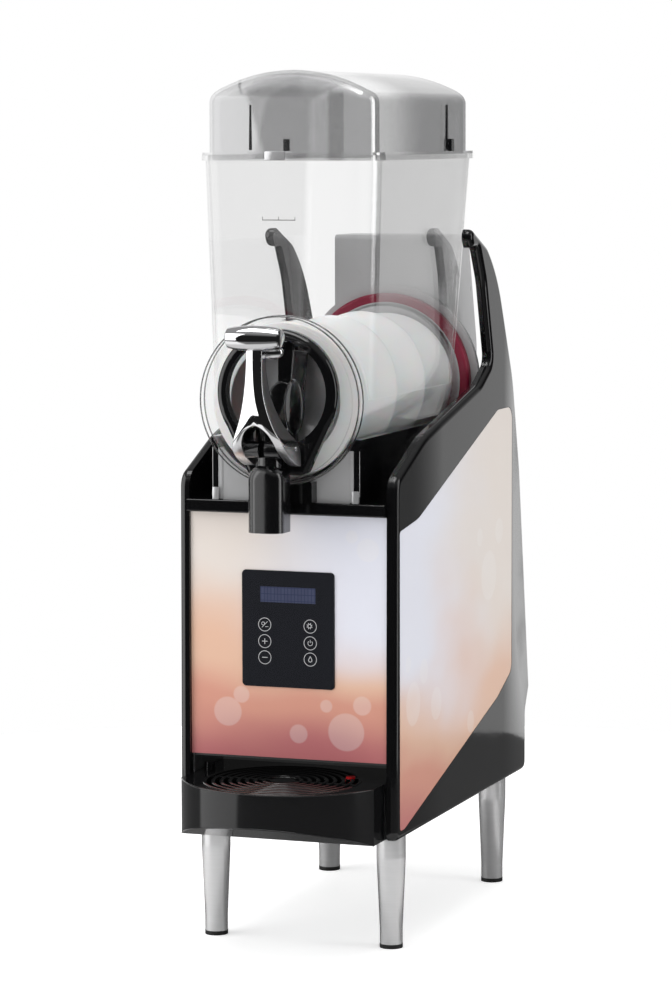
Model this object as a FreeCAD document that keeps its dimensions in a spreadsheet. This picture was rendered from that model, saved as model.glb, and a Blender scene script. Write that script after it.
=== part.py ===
import FreeCAD, Part
import math
import os
import re
import Sketcher
from FreeCAD import Rotation, Vector

# Cold coffee dispenser with one clear bowl, built as a bench assembly.
# Frame: +Z up, the front with the tap faces -Y, the origin is on the floor
# under the middle of the object. All sizes are millimetres.

doc = FreeCAD.newDocument("ColdCoffeeDispenser")
sheet = doc.addObject("Spreadsheet::Sheet", "Sizes")

SIZES = {
    # Casing
    "seat_side_gap": 4.5, "shell_thickness": 10.5, "body_bottom": 110, "panel_front_y": -165,
    "shell_edge_round": 6, "fit_gap": 0.3, "sheet_steel": 1.5,
    "hollow_depth": 5.5, "deck_z": 430, "deck_thickness": 2,
    # Corners of the side shell, named along its outline
    "heel_y": 252, "heel_z": 172, "rear_y": 265, "rear_z": 196, "back_y": 229, "back_z": 428,
    "shoulder_y": 205, "shoulder_z": 525, "nape_y": 150, "nape_z": 636, "crown_y": 116,
    "crown_z": 662, "tip_y": 50.6, "tip_z": 688, "beak_y": 66, "beak_z": 662, "notch_y": 86,
    "notch_z": 662, "throat_y": 106, "throat_z": 628,
    "crook_y": 131, "crook_z": 545, "ledge_y": 92, "ledge_z": 525, "sill_y": -85,
    "sill_z": 486.3, "brow_y": -167, "brow_z": 452, "chin_y": -167, "chin_z": 399,
    # Inset picture panel of each side
    "inset_depth": 1.2, "inset_front_y": -160, "inset_low_z": 119, "inset_front_top_z": 404,
    "inset_bend_y": -105, "inset_bend_z": 411, "inset_top_y": 150, "inset_top_z": 496,
    "inset_rear_y": 199, "inset_rear_low_z": 222, "inset_sweep_y": 150, "inset_sweep_z": 201,
    # Front panel, control glass and display
    "panel_thickness": 3, "panel_low_z": 184, "panel_top_gap": 1, "glass_width": 93,
    "glass_low_z": 252, "glass_top_z": 363, "glass_thickness": 3, "glass_proud": 1.2,
    "glass_corner": 4, "display_width": 56, "display_low_z": 333, "display_top_z": 348,
    "display_depth": 8, "board_thickness": 1.6, "standoff_radius": 2.5,
    # Trim bar, cradle and stop under the bowl
    "trim_height": 12, "trim_proud": 10, "cradle_tuck": 4.5, "cradle_drop": 36,
    "cradle_post": 9.5, "cradle_lip": 1.5, "cradle_lip_height": 7, "cradle_setback": 16,
    "cradle_plate": 2, "cradle_wall": 3, "stop_width": 62, "stop_depth": 14, "stop_tab_width": 20,
    "stop_tab_drop": 10,
    # Bowl
    "bowl_lift": 18, "bowl_radius": 78, "bowl_wall": 2.5, "nose_front_y": -186,
    "nose_rim": 4, "nose_rim_step": 2, "nose_rim_width": 8,
    "hopper_foot": 1, "hopper_overhang": 3, "hopper_setback": 26,
    "hopper_low_rear_y": 103, "hopper_top_z": 750, "hopper_side_lean": 1.8,
    "hopper_front_lean": 1.03, "hopper_rear_lean": 8.92, "hopper_corner": 18,
    "rim_height": 5, "rim_reach": 3.5, "mouth_step": 0.5,
    # Lid
    "lid_flange": 2.5, "lid_inset": 3.3, "lid_wall": 2.5, "lid_side_height": 53, "lid_arch": 24,
    "lid_corner": 17, "lid_edge_round": 12, "lid_lip": 5, "lid_clip_y": 62,
    "lid_clip_size": 8, "lid_clip_height": 12,
    # Cooling cylinder, auger and drive
    "evaporator_radius": 61, "evaporator_setback": 29, "evaporator_seat": 16,
    "evaporator_wall": 3, "shaft_radius": 8, "shaft_gap": 0.05, "shaft_sleeve": 5,
    "auger_gap": 2, "auger_core_gap": 1.5, "auger_pitch": 90, "auger_turns": 2.8,
    "auger_blade": 28, "auger_blade_root": 18, "auger_setback": 3, "auger_arm_width": 17,
    "auger_arm_depth": 8, "auger_spar_radius": 3, "auger_spar_inset": 1,
    "auger_arm_end": 3, "hub_radius": 12, "hub_nose": 4,
    "nut_radius": 9.5, "nut_length": 8, "nut_round": 3, "seal_radius": 15, "seal_depth": 2,
    "seat_margin": 7, "seat_depth": 6, "gasket_lap": 1, "gasket_width": 9,
    "gasket_depth": 12, "gasket_round": 3,
    # Tower with the gear motor
    "tower_width": 122, "tower_front_y": 137, "tower_top_z": 672, "tower_top_rear_y": 203,
    "tower_mid_rear_y": 233, "tower_mid_z": 556, "tower_low_rear_y": 224, "tower_wall": 3,
    "gearbox_width": 72, "gearbox_depth": 40, "gearbox_height": 72, "gearbox_round": 4,
    "motor_radius": 22, "motor_drop": 34, "coupling_depth": 14,
    # Tap
    "dish_band": 7, "bezel_radius": 60, "bezel_opening": 50, "bezel_rise": 8,
    "bezel_depth": 11, "bezel_round": 6, "bezel_neck_drop": 69, "bezel_neck_width": 58,
    "tap_reach": 28, "tap_inlet_drop": 56, "tap_inlet_radius": 10, "tap_way_drop": 58,
    "tap_way_radius": 6, "barrel_radius": 12.5, "barrel_low_drop": 96, "barrel_top_drop": 24,
    "cap_height": 2.5, "cap_round": 1, "spout_width": 35, "spout_depth": 36,
    "spout_round": 11, "spout_dome": 16, "spout_low_drop": 120, "spout_top_drop": 56,
    "piston_radius": 9, "piston_gap": 0.3, "piston_low_drop": 67, "piston_top_drop": 37,
    "spring_radius": 7, "spring_wire": 1.2, "hinge_reach": 42, "hinge_drop": 42,
    "hinge_radius": 3, "hinge_gap": 0.05, "hinge_lug": 8, "hinge_pin_start": 11,
    "hinge_pin_end": 24, "leg_inner": 17, "leg_outer": 27.5, "lift_pin_radius": 2,
    "lift_slot_gap": 0.45, "lever_swing": 35,
    # Chrome lever, its sections named from the legs up to the grip
    "lever_rear_reach": 16, "lever_rear_low_drop": 62, "lever_rear_top_drop": 32,
    "lever_toe_reach": 53, "lever_toe_drop": 46, "lever_crotch_drop": 19.5, "lever_hip_rise": -30,
    "lever_hip_width": 50, "lever_hip_front": 60, "lever_hip_rear": 41,
    "lever_thigh_rise": -20, "lever_thigh_width": 39, "lever_thigh_front": 65,
    "lever_thigh_rear": 44, "lever_waist_rise": -2, "lever_waist_width": 23,
    "lever_waist_front": 72, "lever_waist_rear": 51, "lever_stem_rise": 22,
    "lever_stem_width": 19, "lever_stem_front": 76, "lever_stem_rear": 57,
    "lever_neck_rise": 62, "lever_neck_width": 18, "lever_neck_front": 72,
    "lever_neck_rear": 58, "grip_width": 53, "grip_depth": 28, "grip_height": 23,
    "grip_reach": 64.4, "grip_rise": 63, "grip_tilt": 15, "grip_round": 8.5, "grip_edge": 7.5,
    # Drip tray, grille and float
    "tray_side_gap": 2.5, "tray_front_y": -261, "tray_bow": 63, "tray_rear_y": -90,
    "tray_top_z": 165.5, "tray_wall": 2.5, "tray_ledge": 3, "tray_floor": 2.5,
    "tray_rise": 21, "grille_thickness": 3, "slot_width": 4, "slot_pitch": 8,
    "slot_count": 8, "slot_first": 12, "slot_centre_y": -182, "spoke_width": 5,
    "float_x": 57, "float_y": -150, "float_radius": 3, "float_head": 4.5,
    "float_head_height": 1.5, "float_stem": 18, "float_disc": 10, "float_disc_height": 6,
    "float_boss": 7, "recess_wall": 2.5, "recess_gap": 3,
    # Legs and feet
    "leg_inset": 20.1, "leg_front_y": -127.4, "leg_rear_y": 196.1, "leg_top_radius": 14,
    "leg_low_radius": 11, "leg_straight": 22, "foot_height": 15, "pad_height": 4,
    "pad_radius": 11.2, "foot_stud_radius": 5, "foot_stud_length": 45, "leg_bore_gap": 0.3,
    # Cooling unit and wiring in the base
    "compressor_x": -22, "compressor_y": 12, "compressor_radius": 60,
    "compressor_lift": 14, "compressor_height": 96, "compressor_dome": 20,
    "compressor_foot_radius": 8, "compressor_foot_offset": 30, "condenser_front_y": 118,
    "condenser_depth": 30, "condenser_width": 170, "condenser_height": 188,
    "condenser_frame": 4, "fin_pitch": 9, "fin_thickness": 2.5, "fan_radius": 66,
    "fan_gap": 5, "fan_hub": 17, "fan_depth": 16, "fan_blade": 3, "fan_blades": 5,
    "fan_blade_tilt": 35, "fan_axle": 3, "fan_axle_length": 18, "shroud_thickness": 3,
    "shroud_lip": 46, "shroud_strut": 16, "fan_motor_radius": 26, "fan_motor_depth": 26,
    "fan_motor_gap": 1, "dryer_radius": 10, "dryer_length": 70, "dryer_lift": 10, "pipe_radius": 4,
    "pipe_bend": 10, "pipe_x": 48, "pipe_rise": 30, "pipe_top_z": 480, "power_board_y": -70,
    "power_board_length": 150, "power_board_z": 290, "power_board_height": 100,
    "power_board_standoff": 6, "rear_straight": 90, "rear_slope": 24, "rear_inset": 8,
    "louvre_length": 110, "louvre_height": 5, "louvre_pitch": 14, "louvre_count": 13,
    "louvre_low_z": 220, "socket_x": 55, "socket_z": 150, "socket_width": 28,
    "socket_height": 21, "socket_depth": 24, "socket_flange": 4, "socket_wall": 3,
    "socket_pocket": 18, "socket_pin": 1.5, "socket_pin_length": 11, "socket_pin_pitch": 6,
    "screw_radius": 2, "screw_head": 4, "screw_height": 2.4, "screw_length": 8,
    "screw_inset": 11.5, "screw_low_z": 128, "screw_high_z": 188, "flange_width": 16,
}

# Where each piece lies or how wide it is, worked out from what it fits to
PLACES = {
    "bowl_axis_z": "deck_z + bowl_lift + bowl_radius",
    "cradle_top_z": "bowl_axis_z - cradle_drop",
    "cradle_front_y": "nose_front_y + cradle_setback",
    "cradle_width": "2 * (bowl_radius - cradle_tuck)",
    "gasket_front_y": "tower_front_y - seat_depth - gasket_depth",
    "bowl_rear_y": "gasket_front_y - fit_gap",
    "gasket_inner": "bowl_radius + gasket_lap",
    "gasket_outer": "gasket_inner + gasket_width",
    "seat_radius": "gasket_outer + seat_margin",
    "body_width": "2 * (seat_radius + seat_side_gap + shell_thickness)",
    "hopper_low_z": "bowl_axis_z + hopper_foot",
    "hopper_low_width": "2 * (bowl_radius + hopper_overhang)",
    "hopper_low_front_y": "nose_front_y + hopper_setback",
    "hopper_rise": "hopper_top_z - hopper_low_z",
    "hopper_top_width": "hopper_low_width + 2 * hopper_rise * tan(hopper_side_lean)",
    "hopper_top_front_y": "hopper_low_front_y - hopper_rise * tan(hopper_front_lean)",
    "hopper_top_rear_y": "hopper_low_rear_y + hopper_rise * tan(hopper_rear_lean)",
    "evaporator_front_y": "nose_front_y + evaporator_setback",
    "evaporator_rear_y": "tower_front_y - evaporator_seat",
    "auger_start_y": "evaporator_front_y + auger_setback",
    "bezel_z": "bowl_axis_z + bezel_rise",
    "bezel_neck_low_z": "bowl_axis_z - bezel_neck_drop",
    "tap_inlet_z": "bowl_axis_z - tap_inlet_drop",
    "tap_way_z": "bowl_axis_z - tap_way_drop",
    "barrel_low_z": "bowl_axis_z - barrel_low_drop",
    "barrel_top_z": "bowl_axis_z - barrel_top_drop",
    "spout_low_z": "bowl_axis_z - spout_low_drop",
    "spout_top_z": "bowl_axis_z - spout_top_drop",
    "piston_low_z": "bowl_axis_z - piston_low_drop",
    "piston_top_z": "bowl_axis_z - piston_top_drop",
    "hinge_z": "bowl_axis_z - hinge_drop",
    "lever_rear_low_z": "bowl_axis_z - lever_rear_low_drop",
    "lever_rear_top_z": "bowl_axis_z - lever_rear_top_drop",
    "lever_toe_z": "bowl_axis_z - lever_toe_drop",
    "lever_crotch_z": "bowl_axis_z - lever_crotch_drop",
    "grip_z": "bowl_axis_z + grip_rise",
    "tap_y": "nose_front_y - tap_reach",
    "hinge_y": "nose_front_y - hinge_reach",
    "lever_rear_y": "nose_front_y - lever_rear_reach",
    "lever_toe_y": "nose_front_y - lever_toe_reach",
    "grip_y": "nose_front_y - grip_reach",
    "lever_hip_z": "bowl_axis_z + lever_hip_rise",
    "lever_hip_front_y": "nose_front_y - lever_hip_front",
    "lever_hip_rear_y": "nose_front_y - lever_hip_rear",
    "lever_thigh_z": "bowl_axis_z + lever_thigh_rise",
    "lever_thigh_front_y": "nose_front_y - lever_thigh_front",
    "lever_thigh_rear_y": "nose_front_y - lever_thigh_rear",
    "lever_waist_z": "bowl_axis_z + lever_waist_rise",
    "lever_waist_front_y": "nose_front_y - lever_waist_front",
    "lever_waist_rear_y": "nose_front_y - lever_waist_rear",
    "lever_stem_z": "bowl_axis_z + lever_stem_rise",
    "lever_stem_front_y": "nose_front_y - lever_stem_front",
    "lever_stem_rear_y": "nose_front_y - lever_stem_rear",
    "lever_neck_z": "bowl_axis_z + lever_neck_rise",
    "lever_neck_front_y": "nose_front_y - lever_neck_front",
    "lever_neck_rear_y": "nose_front_y - lever_neck_rear",
    "panel_top_z": "deck_z - trim_height - panel_top_gap",
    "leg_x": "body_width / 2 - leg_inset",
    "tray_width": "body_width - 2 * (shell_thickness + tray_side_gap)",
    "screw_x": "body_width / 2 - shell_thickness - screw_inset",
}

for row, (alias, size) in enumerate(SIZES.items(), start=1):
    sheet.set("A%d" % row, alias)
    sheet.set("B%d" % row, str(size))
    sheet.setAlias("B%d" % row, alias)
doc.recompute()

WORD = re.compile(r"[a-z_]+")
ROUND_X = Rotation(Vector(0, 1, 0), 90)
ROUND_Y = Rotation(Vector(1, 0, 0), -90)
TURNS = {"x": ROUND_X, "y": ROUND_Y, "z": Rotation()}

HALF = "(body_width / 2)"
INNER = "(body_width / 2 - shell_thickness)"
REAR_FACE = "(heel_y - rear_inset - sheet_steel)"
BOWL_INNER = "(bowl_radius - bowl_wall)"
DISH = "(bowl_radius + nose_rim_step - dish_band)"
AUGER_RADIUS = "(bowl_radius - bowl_wall - auger_gap)"
AUGER_CORE = "(evaporator_radius + auger_core_gap)"
PIPE_Y = "(tower_front_y + tower_wall + 2 * pipe_bend)"
RIM_TOP = "(hopper_top_z + rim_height)"
LID_BASE = "(hopper_top_z + rim_height + lid_flange)"
LID_TOP = "(hopper_top_z + rim_height + lid_flange + lid_side_height + lid_arch)"

nodes = {}


def linked(text):
    """An expression in which each size is read from the sheet and each place worked out."""
    def swap(match):
        word = match.group(0)
        if word in PLACES:
            return "(" + linked(PLACES[word]) + ")"
        return "Sizes." + word if word in SIZES else word
    return WORD.sub(swap, str(text))


def value(text):
    """The present number of an expression on the sheet's sizes."""
    result = sheet.evalExpression(linked(text))
    return float(getattr(result, "Value", result))


def bind(thing, field, text):
    thing.setExpression(field, linked(text))


def place(thing, x, y, z):
    for field, text in zip("xyz", (x, y, z)):
        bind(thing, "Placement.Base." + field, text)


def block(name, low, high):
    """A box between two corners."""
    box = doc.addObject("Part::Box", name)
    for field, near, far in zip(("Length", "Width", "Height"), low, high):
        bind(box, field, "(%s) - (%s)" % (far, near))
    place(box, *low)
    return box


def rod(name, axis, start, length, radius):
    """A cylinder along x, y or z from its start."""
    shape = doc.addObject("Part::Cylinder", name)
    bind(shape, "Radius", radius)
    bind(shape, "Height", length)
    shape.Placement.Rotation = TURNS[axis]
    place(shape, *start)
    return shape


def taper(name, axis, start, length, first, second):
    """A cone along an axis, from its first radius to its second."""
    shape = doc.addObject("Part::Cone", name)
    bind(shape, "Radius1", first)
    bind(shape, "Radius2", second)
    bind(shape, "Height", length)
    shape.Placement.Rotation = TURNS[axis]
    place(shape, *start)
    return shape


def fuse(name, pieces):
    joined = doc.addObject("Part::MultiFuse", name)
    joined.Shapes = pieces
    joined.Refine = True
    return joined


def cut(name, base, tools):
    """The base with every tool taken out of it."""
    for number, tool in enumerate(tools):
        step = doc.addObject("Part::Cut", "%s_%d" % (name, number))
        step.Base = base
        step.Tool = tool
        base = step
    return base


def common(name, base, tool):
    shared = doc.addObject("Part::Common", name)
    shared.Base = base
    shared.Tool = tool
    return shared


def rounded(name, base, radius, chosen):
    """The base with the chosen edges rounded."""
    doc.recompute()
    size = value(radius)
    picked = [number for number, edge in enumerate(base.Shape.Edges, start=1) if chosen(edge)]
    if not picked:
        raise ValueError("no edge to round on " + name)
    result = doc.addObject("Part::Fillet", name)
    result.Base = base
    result.Edges = [(number, size, size) for number in picked]
    return result


def upright(edge):
    """True for an edge that climbs, straight or leaning."""
    first, last = edge.Vertexes[0].Point, edge.Vertexes[-1].Point
    return abs(last.z - first.z) > 0.5 * edge.Length


def outline(name, host, corners):
    """A sketch with one closed run of straight sides, each corner bound to the sheet."""
    sketch = host.newObject("Sketcher::SketchObject", name) if host else None
    if sketch is None:
        sketch = doc.addObject("Sketcher::SketchObject", name)
    points = [Vector(value(u), value(v), 0) for u, v in corners]
    count = len(points)
    for number in range(count):
        side = Part.LineSegment(points[number], points[(number + 1) % count])
        sketch.addGeometry(side, False)
    for number in range(count):
        sketch.addConstraint(Sketcher.Constraint("Coincident", number, 2, (number + 1) % count, 1))
    for number, (u, v) in enumerate(corners):
        for kind, text, now in (("X", u, points[number].x), ("Y", v, points[number].y)):
            rule = Sketcher.Constraint("Distance" + kind, -1, 1, number, 1, now)
            index = sketch.addConstraint(rule)
            sketch.renameConstraint(index, "corner%d%s" % (number, kind))
            bind(sketch, "Constraints.corner%d%s" % (number, kind), text)
    return sketch


def origin_plane(body, role):
    return next(item for item in body.Origin.OriginFeatures if item.Role == role)


def plate(name, role, start, depth, corners, rounds=()):
    """A plate: an outline on an origin plane, made thick, then its corners rounded.

    rounds holds (radius, corner numbers). On YZ the plate grows along +X, on XZ along -Y
    and on XY along +Z, from the offset start.
    """
    body = doc.addObject("PartDesign::Body", name)
    sketch = outline(name + "_outline", body, corners)
    sketch.AttachmentSupport = (origin_plane(body, role), [""])
    sketch.MapMode = "FlatFace"
    bind(sketch, "AttachmentOffset.Base.z", start)
    pad = body.newObject("PartDesign::Pad", name + "_pad")
    pad.Profile = sketch
    bind(pad, "Length", depth)
    doc.recompute()
    tip = pad
    for radius, numbers in rounds:
        spots = [(value(corners[n][0]), value(corners[n][1])) for n in numbers]
        edges = corner_edges(tip.Shape, role, spots)
        tip = body.newObject("PartDesign::Fillet", "%s_round%d" % (name, len(body.Group)))
        tip.Base = (body.Group[-2], edges)
        bind(tip, "Radius", radius)
        doc.recompute()
    body.Tip = tip
    return body


def corner_edges(shape, role, spots):
    """Names of the edges that run through the plate at the given corners."""
    flat = {"YZ_Plane": ("y", "z"), "XZ_Plane": ("x", "z"), "XY_Plane": ("x", "y")}[role]
    names = []
    for number, edge in enumerate(shape.Edges, start=1):
        ends = [vertex.Point for vertex in edge.Vertexes]
        for u, v in spots:
            here = [abs(getattr(end, flat[0]) - u) < 1e-4 and abs(getattr(end, flat[1]) - v) < 1e-4
                    for end in ends]
            if len(ends) == 2 and all(here):
                names.append("Edge%d" % number)
    if len(names) != len(spots):
        raise ValueError("corner not found: %d of %d" % (len(names), len(spots)))
    return names


def turned(name, profile, x, y, z):
    """A body turned about an upright axis from (radius, height) corners."""
    body = doc.addObject("PartDesign::Body", name)
    sketch = outline(name + "_profile", body, profile)
    sketch.AttachmentSupport = (origin_plane(body, "XZ_Plane"), [""])
    sketch.MapMode = "FlatFace"
    turn = body.newObject("PartDesign::Revolution", name + "_turn")
    turn.Profile = sketch
    turn.ReferenceAxis = (sketch, ["V_Axis"])
    turn.Angle = 360
    place(body, x, y, z)
    return body


def level_frame(name, low, high, z):
    """A level rectangle as a sketch, for lofts."""
    corners = [(low[0], low[1]), (high[0], low[1]), (high[0], high[1]), (low[0], high[1])]
    sketch = outline(name, None, corners)
    bind(sketch, "Placement.Base.z", z)
    return sketch


def loft(name, sections, ruled=True):
    skin = doc.addObject("Part::Loft", name)
    skin.Sections = sections
    skin.Solid = True
    skin.Ruled = ruled
    return skin


def mirrored(name, source):
    """The same piece on the other side of the middle plane."""
    twin = doc.addObject("Part::Mirroring", name)
    twin.Source = source
    twin.Normal = Vector(1, 0, 0)
    twin.Base = Vector(0, 0, 0)
    return twin


def keep(node, thing):
    """Names a finished sub-part."""
    thing.Label = node
    nodes[node] = thing
    return thing


# Side shells: glossy black mouldings that end in a hooked fin beside the bowl

SHELL_CORNERS = [
    ("chin_y - 3", "body_bottom"), ("heel_y", "body_bottom"), ("heel_y", "heel_z"),
    ("rear_y", "rear_z"), ("back_y", "back_z"), ("shoulder_y", "shoulder_z"),
    ("nape_y", "nape_z"), ("crown_y", "crown_z"), ("tip_y", "tip_z"), ("beak_y", "beak_z"),
    ("notch_y", "notch_z"), ("throat_y", "throat_z"), ("crook_y", "crook_z"),
    ("ledge_y", "ledge_z"), ("sill_y", "sill_z"), ("brow_y", "brow_z"),
]
SHELL_ROUNDS = [
    ("9", (0, 1)), ("12", (2, 3)), ("150", (4, 5, 6)), ("30", (7,)), ("7.5", (8,)),
    ("7", (9,)), ("8", (10,)), ("60", (11,)), ("14", (12,)), ("40", (13,)), ("120", (14,)),
    ("18", (15,)),
]
INSET_CORNERS = [
    ("inset_front_y", "inset_low_z"), ("inset_front_y + 14", "inset_low_z"),
    ("inset_sweep_y", "inset_sweep_z"), ("inset_rear_y", "inset_rear_low_z"),
    ("inset_rear_y", "inset_top_z"),
    ("inset_top_y", "inset_top_z"), ("inset_bend_y", "inset_bend_z"),
    ("inset_front_y", "inset_front_top_z"),
]
INSET_ROUNDS = [("5", (0, 1)), ("60", (2,)), ("14", (3, 4)), ("30", (5,)), ("80", (6,)),
                ("4", (7,))]


def outer_face_edge(edge):
    """True for an edge in the outermost plane of the right shell."""
    return edge.BoundBox.XMin > value(HALF) - 0.01


def make_shell():
    slab = plate("shell_slab", "YZ_Plane", INNER, "shell_thickness", SHELL_CORNERS, SHELL_ROUNDS)
    soft = rounded("shell_soft", slab, "shell_edge_round", outer_face_edge)
    inset = plate("inset_tool", "YZ_Plane", HALF + " - inset_depth", "inset_depth + 5",
                  INSET_CORNERS, INSET_ROUNDS)
    hollow = plate("hollow_tool", "YZ_Plane", INNER + " - 1", "hollow_depth + 1",
                   [("chin_y + 30", "body_bottom + 12"), ("heel_y - 20", "body_bottom + 12"),
                    ("back_y - 25", "back_z - 15"), ("chin_y + 30", "chin_z - 5")])
    return cut("side_shell_right", soft, [inset, hollow])


def make_picture():
    return plate("picture", "YZ_Plane", HALF + " - inset_depth", "inset_depth - 0.2",
                 [(shrink(u, side_u), shrink(v, side_v))
                  for (u, v), (side_u, side_v) in zip(INSET_CORNERS, INSET_SIDES)], INSET_ROUNDS)


def shrink(text, side):
    return "%s %s fit_gap" % (text, "+" if side > 0 else "-")


# The way in from each corner of the inset, for the gap round the picture panel
INSET_SIDES = [(1, 1), (-1, 1), (-1, 1), (-1, 1), (-1, -1), (-1, -1), (1, -1), (1, -1)]

shell = keep("side_shell_right", make_shell())
keep("side_shell_left", mirrored("shell_left", shell))
picture = keep("side_panel_right", make_picture())
keep("side_panel_left", mirrored("picture_left", picture))


# Folded steel tub that carries the casing, and the deck and panels that close it


def make_tub():
    floor = block("tub_floor", ("-" + INNER, "panel_front_y + 4", "body_bottom"),
                  (INNER, REAR_FACE, "body_bottom + sheet_steel"))
    wall = plate("tub_wall", "YZ_Plane", INNER + " - sheet_steel", "sheet_steel",
                 [("panel_front_y + 4", "body_bottom"), (REAR_FACE, "body_bottom"),
                  (REAR_FACE, "body_bottom + rear_straight"),
                  (REAR_FACE + " - rear_slope", "deck_z - deck_thickness"),
                  ("panel_front_y + 4", "deck_z - deck_thickness")])
    flange = block("tub_flange", (INNER + " - sheet_steel - flange_width",
                                  REAR_FACE + " - 2 * sheet_steel",
                                  "body_bottom + sheet_steel"),
                   (INNER + " - sheet_steel", REAR_FACE + " - sheet_steel",
                    "body_bottom + rear_straight"))
    holes = screw_rods("flange_hole", "screw_radius")
    right = cut("tub_right", fuse("tub_right_side", [wall, flange]), holes)
    return fuse("tub", [floor, right, mirrored("tub_left", right)])


def screw_rods(name, radius):
    """Rods at the right-hand screws of the rear panel."""
    return [rod("%s%d" % (name, number), "y", ("screw_x", REAR_FACE + " - screw_length", z),
                "screw_length", radius)
            for number, z in enumerate(("screw_low_z", "screw_high_z"))]


def make_front_panel():
    edge = INNER + " - fit_gap"
    face = plate("panel_face", "XZ_Plane", "-panel_front_y - panel_thickness", "panel_thickness",
                 [("-(%s)" % edge, "panel_low_z"), (edge, "panel_low_z"),
                  (edge, "panel_top_z"), ("-(%s)" % edge, "panel_top_z")])
    window = block("panel_window",
                   ("-glass_width / 2 - fit_gap", "panel_front_y - 1", "glass_low_z - fit_gap"),
                   ("glass_width / 2 + fit_gap", "panel_front_y + panel_thickness + 1",
                    "glass_top_z + fit_gap"))
    window = rounded("panel_window_round", window, "glass_corner", along_y)
    return cut("front_panel", face, [window])


def along_y(edge):
    box = edge.BoundBox
    return box.YLength > 0.5 * edge.Length


def make_control_glass():
    glass = block("glass_slab", ("-glass_width / 2", "panel_front_y - glass_proud", "glass_low_z"),
                  ("glass_width / 2", "panel_front_y - glass_proud + glass_thickness",
                   "glass_top_z"))
    return rounded("control_glass", glass, "glass_corner", along_y)


def make_display():
    back = "panel_front_y - glass_proud + glass_thickness"
    frame = block("display_frame", ("-display_width / 2 - 6", back, "display_low_z - 5"),
                  ("display_width / 2 + 6", back + " + display_depth", "display_top_z + 5"))
    return frame


def make_control_board():
    back = "panel_front_y - glass_proud + glass_thickness + display_depth"
    board = block("board_slab", ("-glass_width / 2 + 4", back, "glass_low_z + 4"),
                  ("glass_width / 2 - 4", back + " + board_thickness", "glass_top_z - 4"))
    posts = []
    for number, (x, z) in enumerate((("-glass_width / 2 + 9", "glass_low_z + 9"),
                                     ("glass_width / 2 - 9", "glass_low_z + 9"),
                                     ("-glass_width / 2 + 9", "glass_top_z - 9"),
                                     ("glass_width / 2 - 9", "glass_top_z - 9"))):
        posts.append(rod("board_post%d" % number, "y",
                         (x, "panel_front_y - glass_proud + glass_thickness", z),
                         "display_depth", "standoff_radius"))
    return fuse("control_board", [board] + posts)


def make_trim_bar():
    bar = block("trim_slab", ("-%s + fit_gap" % INNER, "panel_front_y - trim_proud",
                              "deck_z - trim_height"),
                (INNER + " - fit_gap", "panel_front_y + 4", "deck_z"))
    return rounded("trim_bar", bar, "2", lambda edge: edge.BoundBox.YMax
                   < value("panel_front_y - trim_proud") + 0.01 and edge.BoundBox.XLength > 50)


def make_deck():
    slab = block("deck_slab", ("-%s + fit_gap" % INNER, "panel_front_y + 4 + fit_gap",
                               "deck_z - deck_thickness"),
                 (INNER + " - fit_gap", REAR_FACE + " - rear_slope", "deck_z"))
    way = rod("deck_pipe_way", "z", ("pipe_x", PIPE_Y, "deck_z - deck_thickness - 1"),
              "deck_thickness + 2", "pipe_radius + fit_gap")
    return cut("deck_plate", slab, [way])


def make_rear_panel():
    edge = "%s - sheet_steel - fit_gap" % INNER
    floor_z = "body_bottom + sheet_steel"
    knee_z = "body_bottom + rear_straight"
    top_z = "deck_z - deck_thickness - fit_gap"
    skin = plate("rear_skin", "YZ_Plane", "-(%s)" % edge, "2 * (%s)" % edge,
                 [(REAR_FACE + " - sheet_steel", floor_z), (REAR_FACE, floor_z),
                  (REAR_FACE, knee_z), (REAR_FACE + " - rear_slope", top_z),
                  (REAR_FACE + " - rear_slope - sheet_steel", top_z),
                  (REAR_FACE + " - sheet_steel", knee_z)])
    tools = []
    for number in range(int(value("louvre_count"))):
        z = "louvre_low_z + %d * louvre_pitch" % number
        tools.append(block("louvre%d" % number, ("-louvre_length / 2", "back_y - 30", z),
                           ("louvre_length / 2", "heel_y", z + " + louvre_height")))
    tools.append(block("socket_window",
                       ("socket_x - socket_width / 2 - fit_gap", "back_y - 30",
                        "socket_z - socket_height / 2 - fit_gap"),
                       ("socket_x + socket_width / 2 + fit_gap", "heel_y",
                        "socket_z + socket_height / 2 + fit_gap")))
    holes = screw_rods("panel_hole", "screw_radius")
    holes += [mirrored(hole.Name + "_left", hole) for hole in holes]
    return cut("rear_panel", skin, tools + holes)


keep("chassis_tub", make_tub())
keep("front_panel", make_front_panel())
keep("control_glass", make_control_glass())
keep("display_module", make_display())
keep("control_board", make_control_board())
keep("trim_bar", make_trim_bar())
keep("deck_plate", make_deck())
keep("rear_panel", make_rear_panel())

# Cradle, grey front plate and stop that hold the bowl over the deck


def bowl_bore(name, radius, start, end):
    """A cylinder on the bowl's level axis."""
    return rod(name, "y", ("0", start, "bowl_axis_z"), "(%s) - (%s)" % (end, start), radius)


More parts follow.
